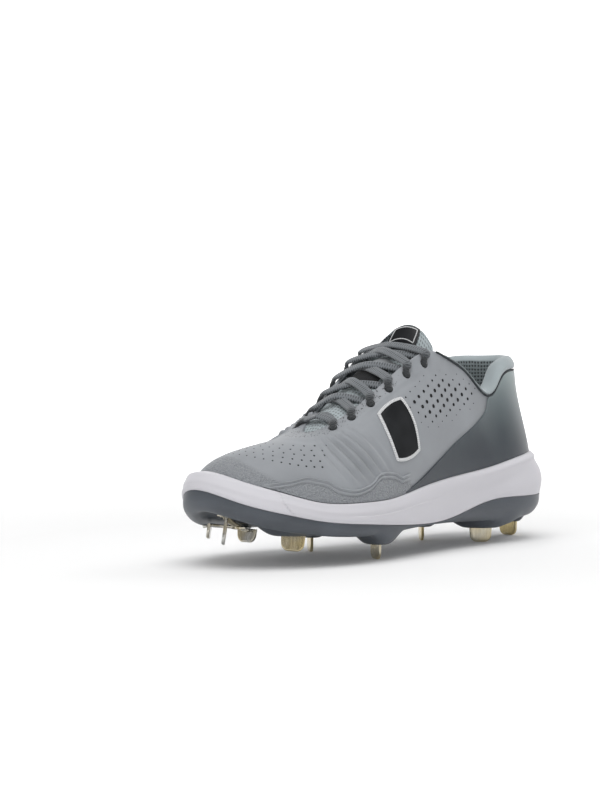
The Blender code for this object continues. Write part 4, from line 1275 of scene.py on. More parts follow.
def make_upper():
    """The upper as one hollow shell with a rounded top edge, its eyelets cut through."""
    s = np.linspace(0, 2, UPPER_STATIONS, endpoint=False)[:, None]
    rows = np.linspace(0, 1, UPPER_ROWS)[None, :] ** 0.96
    height = np.linalg.norm(topline_point(s) - feather_point(s), axis=-1)
    lip = UPPER_WALL / 2 / height
    outer_climb = rows * (1 - lip)
    points = wall_point(s, outer_climb)
    relief = upper_relief(s, outer_climb)
    outer = points + wall_normal(s, outer_climb) * relief[..., None]
    turn = np.linspace(0, math.pi, 7)[None, 1:-1]
    edge_climb = 1 - lip * (1 - np.sin(turn))
    rounding = -UPPER_WALL / 2 * (1 - np.cos(turn))
    edge = upper_point(s, edge_climb, rounding + relief[:, -1:] * (1 + np.cos(turn)) / 2)
    inner_climb = np.linspace(1, 0, INNER_ROWS)[None, :] * (1 - lip)
    inner = upper_point(s, inner_climb, -UPPER_WALL)
    inner[:, -1, 2] = outer[:, 0, 2]
    sections = np.concatenate([outer, edge, inner], axis=1)
    form = tube_form(sections, ring=True)
    lined = np.arange(sections.shape[1]) >= UPPER_ROWS + 4
    form.finish = np.tile(lined.astype(np.int32), UPPER_STATIONS)
    creases = -flex_relief(s, outer_climb) / sizes().crease_depth
    masks = {
        "grain": grain_mask(s, outer_climb),
        "stipple": smooth(0.0125, 0.009, share_from_edge(s, outer_climb)) * smooth(0.55, 0.60, fold(s)),
        # Painted shade for the ribs' grooves and the creases' bottoms
        "groove": np.maximum(np.where(s > 1, groove_shade_mask(points), 0), creases * CREASE_SHADE),
    }
    unmasked = ((0, 0), (0, sections.shape[1] - UPPER_ROWS))
    piece = make_piece(
        "upper_shell", [form], [shared(synthetic_finish), shared(lining_finish)],
        masks={name: np.pad(values, unmasked) for name, values in masks.items()},
    )
    cut_eyelets(piece)
    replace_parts(piece, "upper")


def climb_from_edge(station, distance):
    """The climb at a distance down the wall from the top edge."""
    climbs = np.linspace(1.0, 0.2, 201)
    line = wall_point(station, climbs)
    walked = np.concatenate([[0], np.cumsum(np.linalg.norm(np.diff(line, axis=0), axis=1))])
    return float(np.interp(distance, walked, climbs))


def eyelet_station(row):
    """Station of an eyelet row, from the foot of the throat up."""
    share = row / (EYELET_ROWS - 1)
    return EYELET_FIRST_STATION + (EYELET_LAST_STATION - EYELET_FIRST_STATION) * share


def eyelet(row, side):
    """Centre of an eyelet on the upper's outer face, and the direction out of it."""
    station = side_station(eyelet_station(row), side)
    climb = climb_from_edge(station, EYELET_INSET)
    return wall_point(station, climb), wall_normal(station, climb)


def cut_eyelets(piece):
    """Cuts an oval hole through the shell at each eyelet."""
    forms = []
    depth = np.array([-4, 4])[:, None, None] * UPPER_WALL
    for side, _ in SIDES:
        for row in range(EYELET_ROWS):
            centre, normal = eyelet(row, side)
            ring = EYELET_RADIUS * hole_ring(normal, 20, 1.05, 1.25)
            forms.append(outwards(tube_form(centre + ring[None] + depth * normal)))
    form = joined(forms)
    mesh = plain_mesh("eyelet_punches", form.points, form.quads)
    weld(mesh)
    punches = new_object("eyelet_punches", mesh)
    step = piece.modifiers.new("eyelets", "BOOLEAN")
    step.object = punches
    step.operation = "DIFFERENCE"
    step.solver = "EXACT"
    step.material_mode = "INDEX"
    bpy.context.view_layer.update()
    cut = bpy.data.meshes.new_from_object(piece.evaluated_get(bpy.context.evaluated_depsgraph_get()))
    piece.modifiers.clear()
    piece.data = cut
    cut.set_sharp_from_angle(angle=math.radians(50))
    bpy.data.objects.remove(punches)


def inside_share(x, z):
    """How far inside the vented patch a point lies: least distance to its edges, metres."""
    corners = np.array(VENT_CORNERS) * SHOE_LENGTH
    least = np.full(np.shape(x), 1.0)
    for start, end in zip(corners, np.roll(corners, -1, 0)):
        run = unit(end - start)
        away = (z - start[1]) * run[0] - (x - start[0]) * run[1]
        least = np.minimum(least, away)
    return least


def wall_place(x, z, side):
    """Stations and climbs where the wall passes given x and z, by nearest grid place."""
    s, c = np.meshgrid(np.linspace(0.2, 0.99, 396), np.linspace(0.1, 1, 181), indexing="ij")
    s = side_station(s, side)
    points = wall_point(s, c)
    found = []
    for a, b in zip(np.ravel(x), np.ravel(z)):
        miss = (points[..., 0] - a) ** 2 + (points[..., 2] - b) ** 2
        index = np.unravel_index(np.argmin(miss), miss.shape)
        found.append((s[index], c[index]))
    return np.array(found)


def dimple_forms(places, radii, out):
    """Small punched holes: a turned-in cup, dark inside with painted shadow, at each place on the wall."""
    profile = ((1.0, -0.12), (1.0, 0.05), (0.82, 0.07), (0.45, 0.05))
    forms = []
    centres = wall_point(places[:, 0], places[:, 1])
    normals = wall_normal(places[:, 0], places[:, 1])
    for centre, normal, radius, rise in zip(centres, normals, radii, out):
        ring = hole_ring(normal, 12)
        sections = [
            centre + ring * radius * wide + normal * (rise + high * VENT_DEPTH) for wide, high in profile
        ]
        forms.append(tube_form(np.array(sections)))
    return forms


def vent_places():
    """The vented patch: a slanted lattice in x and z, holes largest at its middle."""
    steps = np.arange(-VENT_REACH, VENT_REACH + 1)
    i, j = np.meshgrid(steps, steps, indexing="ij")
    x = (VENT_ORIGIN[0] + i * VENT_ALONG[0] + j * VENT_DOWN[0]) * SHOE_LENGTH
    z = (VENT_ORIGIN[1] + i * VENT_ALONG[1] + j * VENT_DOWN[1]) * SHOE_LENGTH
    depth = inside_share(x, z)
    keep = depth > -0.0025
    radius = sizes().vent_radius * (0.26 + 0.74 * smooth(-0.0015, 0.0085, depth[keep]))
    return wall_place(x[keep], z[keep], 1), radius


def make_vents():
    """The punched holes of the outer quarter, the vamp and along the inner ribs."""
    places, radii = vent_places()
    forms = dimple_forms(places, radii, np.zeros(len(radii)))
    vamp = []
    for row, climb in enumerate(VAMP_ROWS):
        stations = np.arange(0.795 + 0.008 * (row % 2), 1.215, 0.0185 + 0.004 * row)
        vamp += [(station, climb) for station in stations]
    vamp = np.array(vamp)
    relief = upper_relief(vamp[:, 0], vamp[:, 1])
    size = 0.26 + 0.24 * (1 - smooth(0.80, 1.08, vamp[:, 0]))
    forms += dimple_forms(vamp, sizes().vent_radius * size, relief)
    forms += rib_pinholes()
    shadow = shared(film_finish, "vent_shadow", VENT_SHADOW, 0.8)
    make_piece("punched_vents", forms, [shadow])


def rib_place(ribs, number, share):
    """The x and z of a place among ribs."""
    first, step, run = (np.array(pair) for pair in ribs[:3])
    return (first + number * step + share * run) * SHOE_LENGTH


def rib_pinholes():
    """A row of pinholes under each rib of the inner quarter."""
    places = [
        rib_place(LONG_RIBS, number - 0.5, share)
        for number in range(LONG_RIBS[3])
        for share in np.linspace(0.10, 0.92, 7)
    ]
    places += [
        rib_place(SHORT_RIBS, number + 0.5, share)
        for number in range(SHORT_RIBS[3])
        for share in np.linspace(0.12, 0.85 - SHORT_RIBS[4] * number, 6 - number)
    ]
    places = np.array(places)
    found = wall_place(places[:, 0], places[:, 1], -1)
    radii = np.full(len(found), sizes().vent_radius * 0.44)
    return dimple_forms(found, radii, upper_relief(found[:, 0], found[:, 1]))


# Skins on the upper


def make_rands():
    """Pebbled skins along the forefoot's sides, each edged with a wavy double welt."""
    rows, columns = RAND_GRID
    s = np.linspace(RAND_TOP[1][0] - 0.030, RAND_TOP[-1][0], rows)
    walk = np.linspace(0, 1, rows)[:, None]
    ends = smooth(0.0, 0.05, walk) * smooth(1.0, 0.95, walk)
    share = 1 - (1 - np.linspace(0, 1, columns)[None, :]) ** 1.8
    low = above_rim_cached(fold(s))[:, None]
    climb = low + (1 - low) * along(RAND_TOP, "up", s)[:, None] * share
    for side, name in SIDES:
        station = side_station(s[:, None], side)
        span = np.linalg.norm(np.diff(wall_point(station, climb), axis=1), axis=-1).sum(1)
        below = (1 - share) * span[:, None]
        welt = hump(below, 0.0009, 0.0007) + hump(below, 0.0032, 0.0007)
        high = 1.5 * GAP + SKIN * 0.25 + welt * ends * sizes().welt_height
        high = high * smooth(-0.0002, 0.0006, below) + 0.9 * GAP
        relief = upper_relief(station, climb)
        form = skin_form(station, climb, 0.5 * GAP + relief, high + relief)
        # seam marks the hollows beside the two welts, which get painted shade through the groove mask
        seam = (hump(below, 0.00205, 0.0006) + hump(below, 0.0045, 0.0007)) * ends * 0.55
        grain = face_mask(smooth(0.0036, 0.0046, below))
        masks = {"grain": grain, "stipple": grain * 0, "groove": face_mask(seam)}
        skin = shared(synthetic_finish)
        piece = make_piece("rand_skin_" + name, [form], [skin], masks=masks)
        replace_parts(piece, "rand_" + name)


def make_counter():
    """Satin skin round the heel, its front edge slanting down to the arch."""
    rows, columns = COUNTER_GRID
    last = COUNTER_TOP[-1][0]
    s = np.linspace(-last, last, rows)[:, None]
    share = np.linspace(0, 1, columns)[None, :]
    low = above_rim_cached(abs(s))
    climb = low + (1 - low) * along(COUNTER_TOP, "up", abs(s)) * share
    high = (1.5 * GAP + SKIN * 0.6) * smooth(1.0, 0.985, share) + GAP
    form = skin_form(s, climb, 0.8 * GAP, high)
    piece = make_piece("heel_counter_skin", [form], [shared(counter_finish)])
    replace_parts(piece, "heel_counter")


def saddle_grid(side):
    """Stations and climbs of a saddle band. A square is rounded to a soft-cornered patch
    by u * sqrt(1 - k v^2 / 2) and the same for v, then laid between the band's edges."""
    u = np.linspace(-1, 1, SADDLE_GRID[0])[:, None]
    v = np.linspace(-1, 1, SADDLE_GRID[1])[None, :]
    a = u * np.sqrt(1 - SADDLE_ROUNDING * v * v / 2)
    b = v * np.sqrt(1 - SADDLE_ROUNDING * u * u / 2)
    first, last = SADDLE[1][0], SADDLE[-1][0]
    up = first + (last - first) * (a + 1) / 2
    front, rear = along(SADDLE, "front", up), along(SADDLE, "rear", up)
    station = (front + rear) / 2 + (front - rear) / 2 * b * 0.93
    low = above_rim_cached(station)
    return side_station(station, side), low + (1 - low) * up


def make_saddles():
    """Plain black bands from the eyestay towards the sole, each with a stitched edge."""
    for side, name in SIDES:
        station, climb = saddle_grid(side)
        relief = upper_relief(station, climb)
        form = skin_form(station, climb, 0.6 * GAP + relief, 1.5 * GAP + SKIN * 0.35 + relief)
        loop = np.stack([border(station), border(climb)], 1)
        at = np.linspace(0, len(loop), 320, endpoint=False)
        station, climb = through(loop, at, closed=True).T
        path = upper_point(station, climb, upper_relief(station, climb) + SKIN * 0.6)
        edging = bead_form(
            path, wall_normal(station, climb), 0.00105, 0.00060, sides=12, power=2.6, closed=True, finish=1
        )
        finishes = [shared(film_finish, "saddle_film", tint("film"), 0.34), shared(thread_finish)]
        piece = make_piece("saddle_band_" + name, [form, edging], finishes)
        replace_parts(piece, "saddle_" + name)


# Sole


def sole_side_marks(station, share):
    """Marks on the foam's side, out along its normal: the toe bumper's seam and its slight
    step, the thin line along the waist, and the trough that rises to the heel's flare."""
    side = fold(station)
    bumper = 0.868 - 0.028 * (1 - share)
    seam = -0.0007 * hump(side, bumper, 0.0035) * smooth(0.02, 0.10, share)
    proud = 0.0004 * smooth(bumper, bumper + 0.004, side) * (1 - smooth(0.9, 1.0, share))
    waist = 0.40 + 0.10 * smooth(0.72, 0.55, side)
    step = 0.0005 * smooth(waist + 0.02, waist - 0.02, share) * smooth(0.74, 0.70, side)
    step = step * smooth(0.40, 0.50, side)
    trough_line = 0.42 + 0.12 * smooth(0.40, 0.05, side)
    trough = -0.0016 * hump(share, trough_line, 0.36) * smooth(0.56, 0.20, side)
    flare = 0.0009 * hump(share, 0.86, 0.14) * smooth(0.42, 0.10, side)
    return seam + proud + step + trough + flare


def make_midsole():
    """Foam cup: flat under the foot, a rounded side from the parting line over the bulge
    to the rim, then down inside the rim and across the seat to the spine."""
    s = np.linspace(0, 2, SOLE_STATIONS, endpoint=False)
    rim = climb_at_height(s, rim_height(s))
    inner = [upper_point(s, rim * share, GAP) for share in (0, 0.33, 0.66, 1)]
    inner[0][:, 2] = seat_height(s)
    normal = outline_normal(s)
    wall = normal * (RIM_WALL * (1 + 1.5 * smooth(0.88, 1.0, fold(s))))[:, None]
    rim_out = inner[3] + wall
    shoulder = rim_out + normal * RIM_WALL * 0.4
    shoulder[:, 2] -= RIM_WALL
    bulge = sole_point(s, "bulge_r", "bulge_z")
    part_line = sole_point(s, "part_r", "part_z")
    high_side = bulge * 0.5 + shoulder * 0.5 + normal * RIM_WALL * 0.35
    low_side = (bulge + part_line) / 2 + normal * RIM_WALL * 0.35
    core = core_point(s, plate_top_height(s))
    bottom = spine_point(s, plate_top_height(s))
    top = spine_point(s, seat_height(s))
    guide = [part_line, low_side, bulge, high_side, shoulder, rim_out]
    side = through(guide, np.linspace(0, 5, FOAM_SIDE_ROWS))
    for _ in range(SIDE_EVENING):
        side[1:-1] = (side[:-2] + 2 * side[1:-1] + side[2:]) / 4
    share = np.linspace(0, 1, FOAM_SIDE_ROWS)[:, None]
    side = side + normal * sole_side_marks(s[None, :], share)[..., None]
    lip = (rim_out + inner[3]) / 2 + np.array([0, 0, RIM_WALL * 0.22])
    rounded = through([side[-2], rim_out, lip, inner[3], inner[2]], np.linspace(1, 3, 7))[1:]
    under = between(bottom, core, (0, 0.5, 1)) + between(core, part_line, (0.5, 0.94))
    seat = between(inner[0], top, (0, 0.25, 0.5, 0.75, 1))
    profile = np.concatenate([under, side, rounded, [inner[2], inner[1]], seat])
    form = ring_form(profile)
    piece = make_piece("midsole_foam_cup", [form], [shared(foam_finish)], sharp=35)
    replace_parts(piece, "midsole")


def boss_pull(points, keep):
    """Underside points drawn down to the bosses: each boss has a flat foot at the top of
    its spike's bare length and a funnel round it, an even S curve of the distance, where
    the distance across the blade counts BOSS_NARROW times."""
    for spike in spikes(SPIKES):
        foot = spike["place"].to_translation()
        low = foot.z + SPIKE_DROP * BOSS_BARE
        foot_share, top_share = REAR_BOSS if spike["name"] == "heel_rear" else PLAIN_BOSS
        flat, wide = BOSS_FOOT_RADIUS * foot_share, BOSS_TOP_RADIUS * top_share
        blade = spike["place"].to_3x3().col[0]
        x, y = points[..., 0] - foot.x, points[..., 1] - foot.y
        away = np.hypot(x * blade.x + y * blade.y, (y * blade.x - x * blade.y) * BOSS_NARROW)
        share = (1 - smooth(flat, wide, away)) ** BOSS_CURVE * keep
        drop = np.maximum(points[..., 2] - low, 0)
        points[..., 2] = points[..., 2] - drop * share
    return points


def make_plate():
    """Moulded plate: its side turns under from the parting line, and its underside is
    drawn down in funnels to the spikes, with small teeth at the back of the heel."""
    s = np.linspace(0, 2, SOLE_STATIONS, endpoint=False)
    normal = outline_normal(s)
    part_line = sole_point(s, "part_r", "part_z")
    part_line[:, 2] -= GAP
    foot = sole_point(s, "foot_r", "foot_z")
    side = part_line * 0.45 + foot * 0.55 + normal * RIM_WALL
    level = plate_top_height(s) - GAP
    core, core_low = core_point(s, level), core_point(s, level - PLATE_THICKNESS)
    top, bottom = spine_point(s, level), spine_point(s, level - PLATE_THICKNESS)
    share = np.linspace(0, 1, PLATE_SIDE_ROWS)
    flank = through([part_line, side, foot, core_low, bottom], np.linspace(0, 3, PLATE_SIDE_ROWS))
    inner = between(core_low, bottom, np.linspace(0, 1, PLATE_UNDER_ROWS + 1)[1:])
    keep = np.concatenate([smooth(0.0, 0.36, share), np.ones(PLATE_UNDER_ROWS)])[:, None]
    under = boss_pull(np.concatenate([flank, inner]), keep)
    away = fold(s)
    teeth = smooth(0.5, 0.9, np.cos(math.tau * away / TEETH_PITCH)) * smooth(0.075, 0.055, away)
    lower = hump(share, 0.44, 0.12)[:, None]
    under[:PLATE_SIDE_ROWS] += normal * (TEETH_HEIGHT * teeth * lower)[..., None]
    profile = np.concatenate([between(top, core, (0, 0.5, 1)), between(core, part_line, (0.5,)), under])
    form = ring_form(profile)
    piece = make_piece("sole_plate", [form], [shared(plate_finish)], sharp=45)
    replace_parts(piece, "outsole_plate")
    return under.reshape(-1, 3)


def blade_form(place, height):
    """A flat steel blade: superellipse sections whose width follows round lower corners
    and whose thickness rounds off at the foot; corner width is R - sqrt(R^2 - (R-h)^2)."""
    rise = np.concatenate([
        np.linspace(0, 1, 9) ** 2 * SPIKE_CORNER, np.linspace(SPIKE_CORNER, height, 8)[1:],
    ])
    corner = np.clip(SPIKE_CORNER - rise, 0, None)
    half = SPIKE_WIDTH / 2 * (SPIKE_TAPER + (1 - SPIKE_TAPER) * rise / height)
    half = half - (SPIKE_CORNER - np.sqrt(SPIKE_CORNER**2 - corner**2))
    round_foot = SPIKE_THICKNESS * 0.35
    thin = np.clip(round_foot - rise, 0, None)
    deep = SPIKE_THICKNESS / 2 - (round_foot - np.sqrt(round_foot**2 - thin**2))
    wide, thick = squared_circle(STEEL_SIDES, 2 / 7)
    sections = np.stack([
        half[:, None] * wide, deep[:, None] * thick, np.repeat(rise[:, None], STEEL_SIDES, 1)
    ], -1)
    return placed(tube_form(sections), place)


def placed(form, matrix):
    """A form moved by a matrix."""
    turn = np.array(matrix.to_3x3())
    form.points = form.points @ turn.T + np.array(matrix.translation)
    return form


def make_spikes():
    """The six moulded-in spikes, each a blade with a raised bar across its face."""
    for spike in spikes(SPIKES):
        blade = blade_form(spike["place"], SPIKE_DROP + SPIKE_ROOT)
        path = np.zeros((BAR_PLACES, 3))
        path[:, 0] = np.linspace(-0.38, 0.38, BAR_PLACES) * SPIKE_WIDTH
        path[:, 2] = SPIKE_DROP * 0.80
        forms = [blade]
        for face in (1.0, -1.0):
            facing = np.array([0, face, 0])
            lifted = path + facing * SPIKE_THICKNESS * 0.5
            bar = bead_form(lifted, np.tile(facing, (BAR_PLACES, 1)), 0.0009, 0.00035, sides=8)
            forms.append(placed(bar, spike["place"]))
        steel = shared(steel_finish, "plated_spikes", 0.75)
        piece = make_piece("steel_" + spike["name"], forms, [steel], sharp=30)
        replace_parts(piece, "spike_" + spike["name"])


def make_bracket(underside):
    """Stamped bracket under the toe: a hub and three ribbed arms, a blade on each. Arms lie
    just under the plate, whose height is read off its nearest points."""
    def under(x, y, reach=0.006):
        away = np.hypot(underside[:, 0] - x, underside[:, 1] - y)
        return float(underside[away < reach, 2].min())

    hub = np.array([BRACKET_HUB_PLACE[0] * SHOE_LENGTH, BRACKET_HUB_PLACE[1] * BALL_WIDTH])
    height = under(*hub, BRACKET_HUB) - 3 * GAP
    cosine, sine = squared_circle(STEEL_SIDES)
    profile = ((1.0, 0.0), (1.0, -0.7), (0.9, -1.0), (0.55, -1.0), (0.45, -0.5))
    disc = [
        np.stack([
            hub[0] + BRACKET_HUB * wide * cosine, hub[1] + BRACKET_HUB * wide * sine,
            np.full(STEEL_SIDES, height + BRACKET_THICKNESS * down),
        ], -1)
        for wide, down in profile
    ]
    forms = [tube_form(np.array(disc))]
    for spike in spikes(LINKED_SPIKES):
        foot = spike["place"].to_translation()
        spot = np.array([foot.x, foot.y])
        share = np.linspace(0, 1, ARM_PLACES)[:, None]
        flat = hub + (spot + unit(spot - hub) * BRACKET_ARM * 0.5 - hub) * share
        level = np.array([under(x, y, 0.005) for x, y in flat]) - 3 * GAP - BRACKET_THICKNESS / 2
        path = np.concatenate([flat, through(level[::3, None], np.linspace(0, 5, ARM_PLACES))], 1)
        upright = np.tile([0.0, 0.0, 1.0], (ARM_PLACES, 1))
        forms.append(bead_form(path, upright, BRACKET_ARM / 2, BRACKET_THICKNESS / 2, sides=16, power=5))
        rib = path - np.array([0, 0, BRACKET_THICKNESS * 0.5])
        forms.append(bead_form(rib, upright, BRACKET_ARM * 0.16, BRACKET_THICKNESS * 0.4, sides=10))
        top = under(foot.x, foot.y) - 2 * GAP
        forms.append(blade_form(spike["place"], top - foot.z))
    steel = shared(steel_finish, "plated_bracket", 0.35)
    piece = make_piece("front_spike_pressing", forms, [steel], sharp=30)
    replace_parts(piece, "front_spike_bracket")


def make_insole():
    """Sockliner: a thin cushion on the seat, dished, its edge a little raised."""
    s = np.linspace(0, 2, 300, endpoint=False)
    bed = seat_height(s) + 1.5 * GAP
    under = towards_spine(s, UPPER_WALL + 6 * GAP, bed)
    clear = -(UPPER_WALL + 4 * GAP)
    lip = upper_point(s, climb_at_height(s, seat_height(s) + 1.6 * INSOLE_THICKNESS), clear)
    low = upper_point(s, climb_at_height(s, seat_height(s) + 0.5 * INSOLE_THICKNESS), clear)
    flat = towards_spine(s, INSOLE_DISH, bed + INSOLE_THICKNESS)
    bottom = spine_point(s, bed)
    top = spine_point(s, bed + INSOLE_THICKNESS)
    cup = through([low, lip, flat, (flat + top) / 2, top], np.linspace(0, 4, 34))
    profile = np.concatenate([cup, [bottom, (bottom + under) / 2, under]])
    form = ring_form(profile)
    cloth = shared(cloth_finish, "sockliner_cloth", tint("insole"), 260.0)
    piece = make_piece("sockliner_pad", [form], [cloth])
    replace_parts(piece, "insole")


# Collar


def make_collar():
    """Padded collar: a closed roll carried from eyestay round the heel to eyestay. Each
    section is a closed curve through eleven points set out from the top edge."""
    last = CUFF[-1][0]
    s = np.linspace(-last, last, 300)
    side = abs(s)
    pad = along(CUFF, "pad", side) * sizes().cuff_pad
    rise = along(CUFF, "rise", side) * CUFF_RISE
    back = UPPER_WALL + 1.5 * GAP
    up = np.array([0.0, 0.0, 1.0])
    edge = upper_point(s, 1.0)
    outward = unit(wall_normal(s, 1.0) * [1, 1, 0])
    depth = (pad + back)[:, None]
    high = up * rise[:, None]
    guide = [
        upper_point(s, CUFF_LOW_CLIMB, -back),
        upper_point(s, 0.83, -back),
        edge - outward * back * 1.15 + up * GAP,
        edge + outward * CUFF_LAP * 0.4 + up * 1.5 * GAP,
        edge + outward * CUFF_LAP + high * 0.45,
        edge - outward * depth * 0.22 + high,
        edge - outward * depth * 0.70 + high * 0.90,
        edge - outward * depth + high * 0.35,
        upper_point(s, 0.88, -(pad + back)),
        upper_point(s, 0.76, -(pad * 0.7 + back)),
        upper_point(s, CUFF_LOW_CLIMB, -(CUFF_HEM + back)),
    ]
    at = np.linspace(0, len(guide), 6 * len(guide), endpoint=False)
    roll = through(guide, at, closed=True)
    form = tube_form(roll.transpose(1, 0, 2))
    lined = (at > CUFF_LINED_FROM).astype(np.int32)
    form.finish = np.tile(lined, len(s) + 1)
    piece = make_piece("collar_roll", [form], [shared(knit_finish), shared(lining_finish)])
    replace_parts(piece, "collar_cuff")


def make_piping():
    """Dark piping along the upper's top edge, from eyestay round the heel to eyestay."""
    last = CUFF[-1][0] + 0.035
    s = np.linspace(-last, last, 420)
    radius = sizes().piping_radius
    path = upper_point(s, PIPING_CLIMB, radius * 0.45)
    form = bead_form(path, wall_normal(s, PIPING_CLIMB), radius, radius)
    cloth = shared(cloth_finish, "piping_cloth", tint("piping"), 420.0)
    make_piece("collar_piping", [form], [cloth])


# Tongue


def throat_middle(station):
    """The middle of the throat between two opposite stations."""
    return (topline_point(np.array([station]))[0] + topline_point(np.array([2 - station]))[0]) / 2


def arch(outer, crown, inner):
    """A line from the outer to the inner point, arched through the crown as a parabola."""
    share = np.linspace(1, -1, TONGUE_COLUMNS)[:, None]
    middle = (outer + inner) / 2
    return middle + (outer - inner) / 2 * share + (crown - middle) * (1 - share**2)


def tongue_section(station, lift=0.0):
    """A cross-section of the tongue's upper face, under the laces."""
    under = -(UPPER_WALL + TONGUE_ROOM)
    outer = upper_point(station, 0.74, under)
    inner = upper_point(2 - station, 0.74, under)
    crown = throat_middle(station) + np.array([0, 0, TONGUE_CROWN - UPPER_WALL - lift])
    return arch(outer, crown, inner)


def tongue_free_section(first, share):
    """A cross-section of the tongue above the laces, a share of the way to its top."""
    corners = []
    for name, x, y, rise in TONGUE_TOP[1:]:
        height = SEAT_HEIGHT + rise * INSTEP_HEIGHT
        corners.append(np.array([x * SHOE_LENGTH, y * BALL_WIDTH, height]))
    start = (first[0], first[TONGUE_COLUMNS // 2], first[-1])
    outer, crown, inner = (a + (b - a) * share for a, b in zip(start, corners))
    ease = max(0.0, share - 0.8) / 0.2
    middle = (outer + inner) / 2
    outer = outer + (middle - outer) * 0.16 * ease**2
    inner = inner + (middle - inner) * 0.16 * ease**2
    return arch(outer, crown, inner)


def tongue_face():
    """The tongue's upper face as a grid (run, across, xyz), and its run values: below 0
    under the laces, 1 at its top edge."""
    under = ((0.93, 1), (0.86, 2 / 3), (0.78, 0), (0.70, 0), (0.62, 0), (0.54, 0), (0.47, 0))
    sections = [tongue_section(station, dip * TONGUE_DIP) for station, dip in under]
    free = (0.25, 0.5, 0.75, 0.92, 1.0)
    sections += [tongue_free_section(sections[-1], share) for share in free]
    run = list((0.47 - np.array([station for station, dip in under])) * 4) + list(free)
    return np.array(sections), np.array(run)


def through_grid(grid, rows, columns):
    """A grid of points read smoothly at places counted in its rows and columns."""
    return through(through(grid, rows).transpose(1, 0, 2), columns).transpose(1, 0, 2)


def tongue_fine():
    """The tongue's face read smoothly at a finer grid, the direction out of it at each
    place, and the run value of each row."""
    grid, run = tongue_face()
    rows, columns = TONGUE_GRID
    at = np.linspace(0, len(run) - 1, rows)
    fine = through_grid(grid, at, np.linspace(0, TONGUE_COLUMNS - 1, columns))
    normal = unit(np.cross(np.gradient(fine, axis=1), np.gradient(fine, axis=0)))
    middle = columns // 2
    normal = normal * np.sign(normal[:, middle : middle + 1, 2:3])
    return fine, normal, np.interp(at, np.arange(len(run)), run)


def make_tongue():
    """Padded tongue: each section is a flat loop whose thickness swells at its middle and
    pulls in at its bound edges, with two soft channels along the padding."""
    grid, normal, run = tongue_fine()
    rows, columns = TONGUE_GRID
    share = np.linspace(-1, 1, columns)[None, :]
    thick = sizes().tongue_thickness * (0.16 + 0.84 * (1 - abs(share) ** 5) ** 0.7)
    fade = np.interp(run, (-1.9, -1.5, -1.0, 0.7, 1.0), (0.4, 0.6, 1.0, 1.0, 0.35))[:, None]
    channel = 0.0005 * (hump(share, 0.52, 0.05) + hump(share, -0.52, 0.05))
    channel = channel * smooth(-0.2, 0.1, run)[:, None]
    bound = 0.0004 * smooth(0.90, 0.96, run)[:, None] * (1 - smooth(0.985, 1.0, run)[:, None])
    face = grid - normal * (channel - bound)[..., None]
    back = grid - normal * (thick * fade)[..., None]
    form = sheet_form(face, back)
    form.finish = np.tile(np.repeat([0, 1], columns).astype(np.int32), rows + 1)
    finishes = [shared(knit_finish, "tongue_mesh", holes=True), shared(lining_finish)]
    piece = make_piece("tongue_pad", [form], finishes, sharp=60)
    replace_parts(piece, "tongue")


def on_tongue(run_values, shares, out):
    """Places on the tongue's face at run values and shares across, and their normals."""
    grid, normal, run = tongue_fine()
    rows = np.interp(run_values, run, np.arange(len(run)))
    columns = (np.asarray(shares) + 1) / 2 * (TONGUE_GRID[1] - 1)
    facing = unit(through_grid(normal, rows, columns))
    return through_grid(grid, rows, columns) + facing * out, facing


def patch_form(first, last, reach, low, high, rows=24, columns=24):
    """A flat patch on the tongue between two runs, as far as a share to either side."""
    runs, shares = np.linspace(first, last, rows), np.linspace(-reach, reach, columns)
    return sheet_form(on_tongue(runs, shares, high)[0], on_tongue(runs, shares, low)[0])


def make_tongue_trim():
    """Plain black tag with a white frame, the black keeper and two webbing loops."""
    base = 1.5 * GAP
    tag = patch_form(0.36, 0.94, 0.46, base, base + SKIN)
    corners = ((0.42, -0.38), (0.88, -0.38), (0.88, 0.38), (0.42, 0.38), (0.42, -0.38))
    runs, across = (
        np.concatenate([np.linspace(a[k], b[k], 30) for a, b in zip(corners, corners[1:])]) for k in (0, 1)
    )
    places = [
        on_tongue(np.array([run]), np.array([share]), base + SKIN) for run, share in zip(runs, across)
    ]
    path, facing = (np.array([place[k][0, 0] for place in places]) for k in (0, 1))
    rim = bead_form(path, facing, 0.00032, 0.0002, sides=8, power=4, closed=True, finish=1)
    finishes = [shared(film_finish, "label_film", tint("film"), 0.5), shared(thread_finish)]
    piece = make_piece("tongue_label", [tag, rim], finishes)
    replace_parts(piece, "tongue_tag")
    keeper = patch_form(-0.62, -0.34, 0.42, base, base + SKIN)
    cloth = shared(cloth_finish, "keeper_cloth", tint("film"), 300.0)
    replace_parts(make_piece("lace_keeper_patch", [keeper], [cloth]), "lace_keeper")
    straps = [
        patch_form(first, last, 0.96, 0.4 * GAP, 0.4 * GAP + 0.0006, rows=6, columns=60)
        for first, last in ((-0.30, -0.23), (-0.08, -0.01))
    ]
    cloth = shared(cloth_finish, "webbing_cloth", tint("webbing"), 420.0)
    make_piece("tongue_webbing", straps, [cloth])


# Laces


def towards_edge(station, place):
    """Direction along the wall from an eyelet to the throat's edge."""
    return unit(topline_point(station) - place)


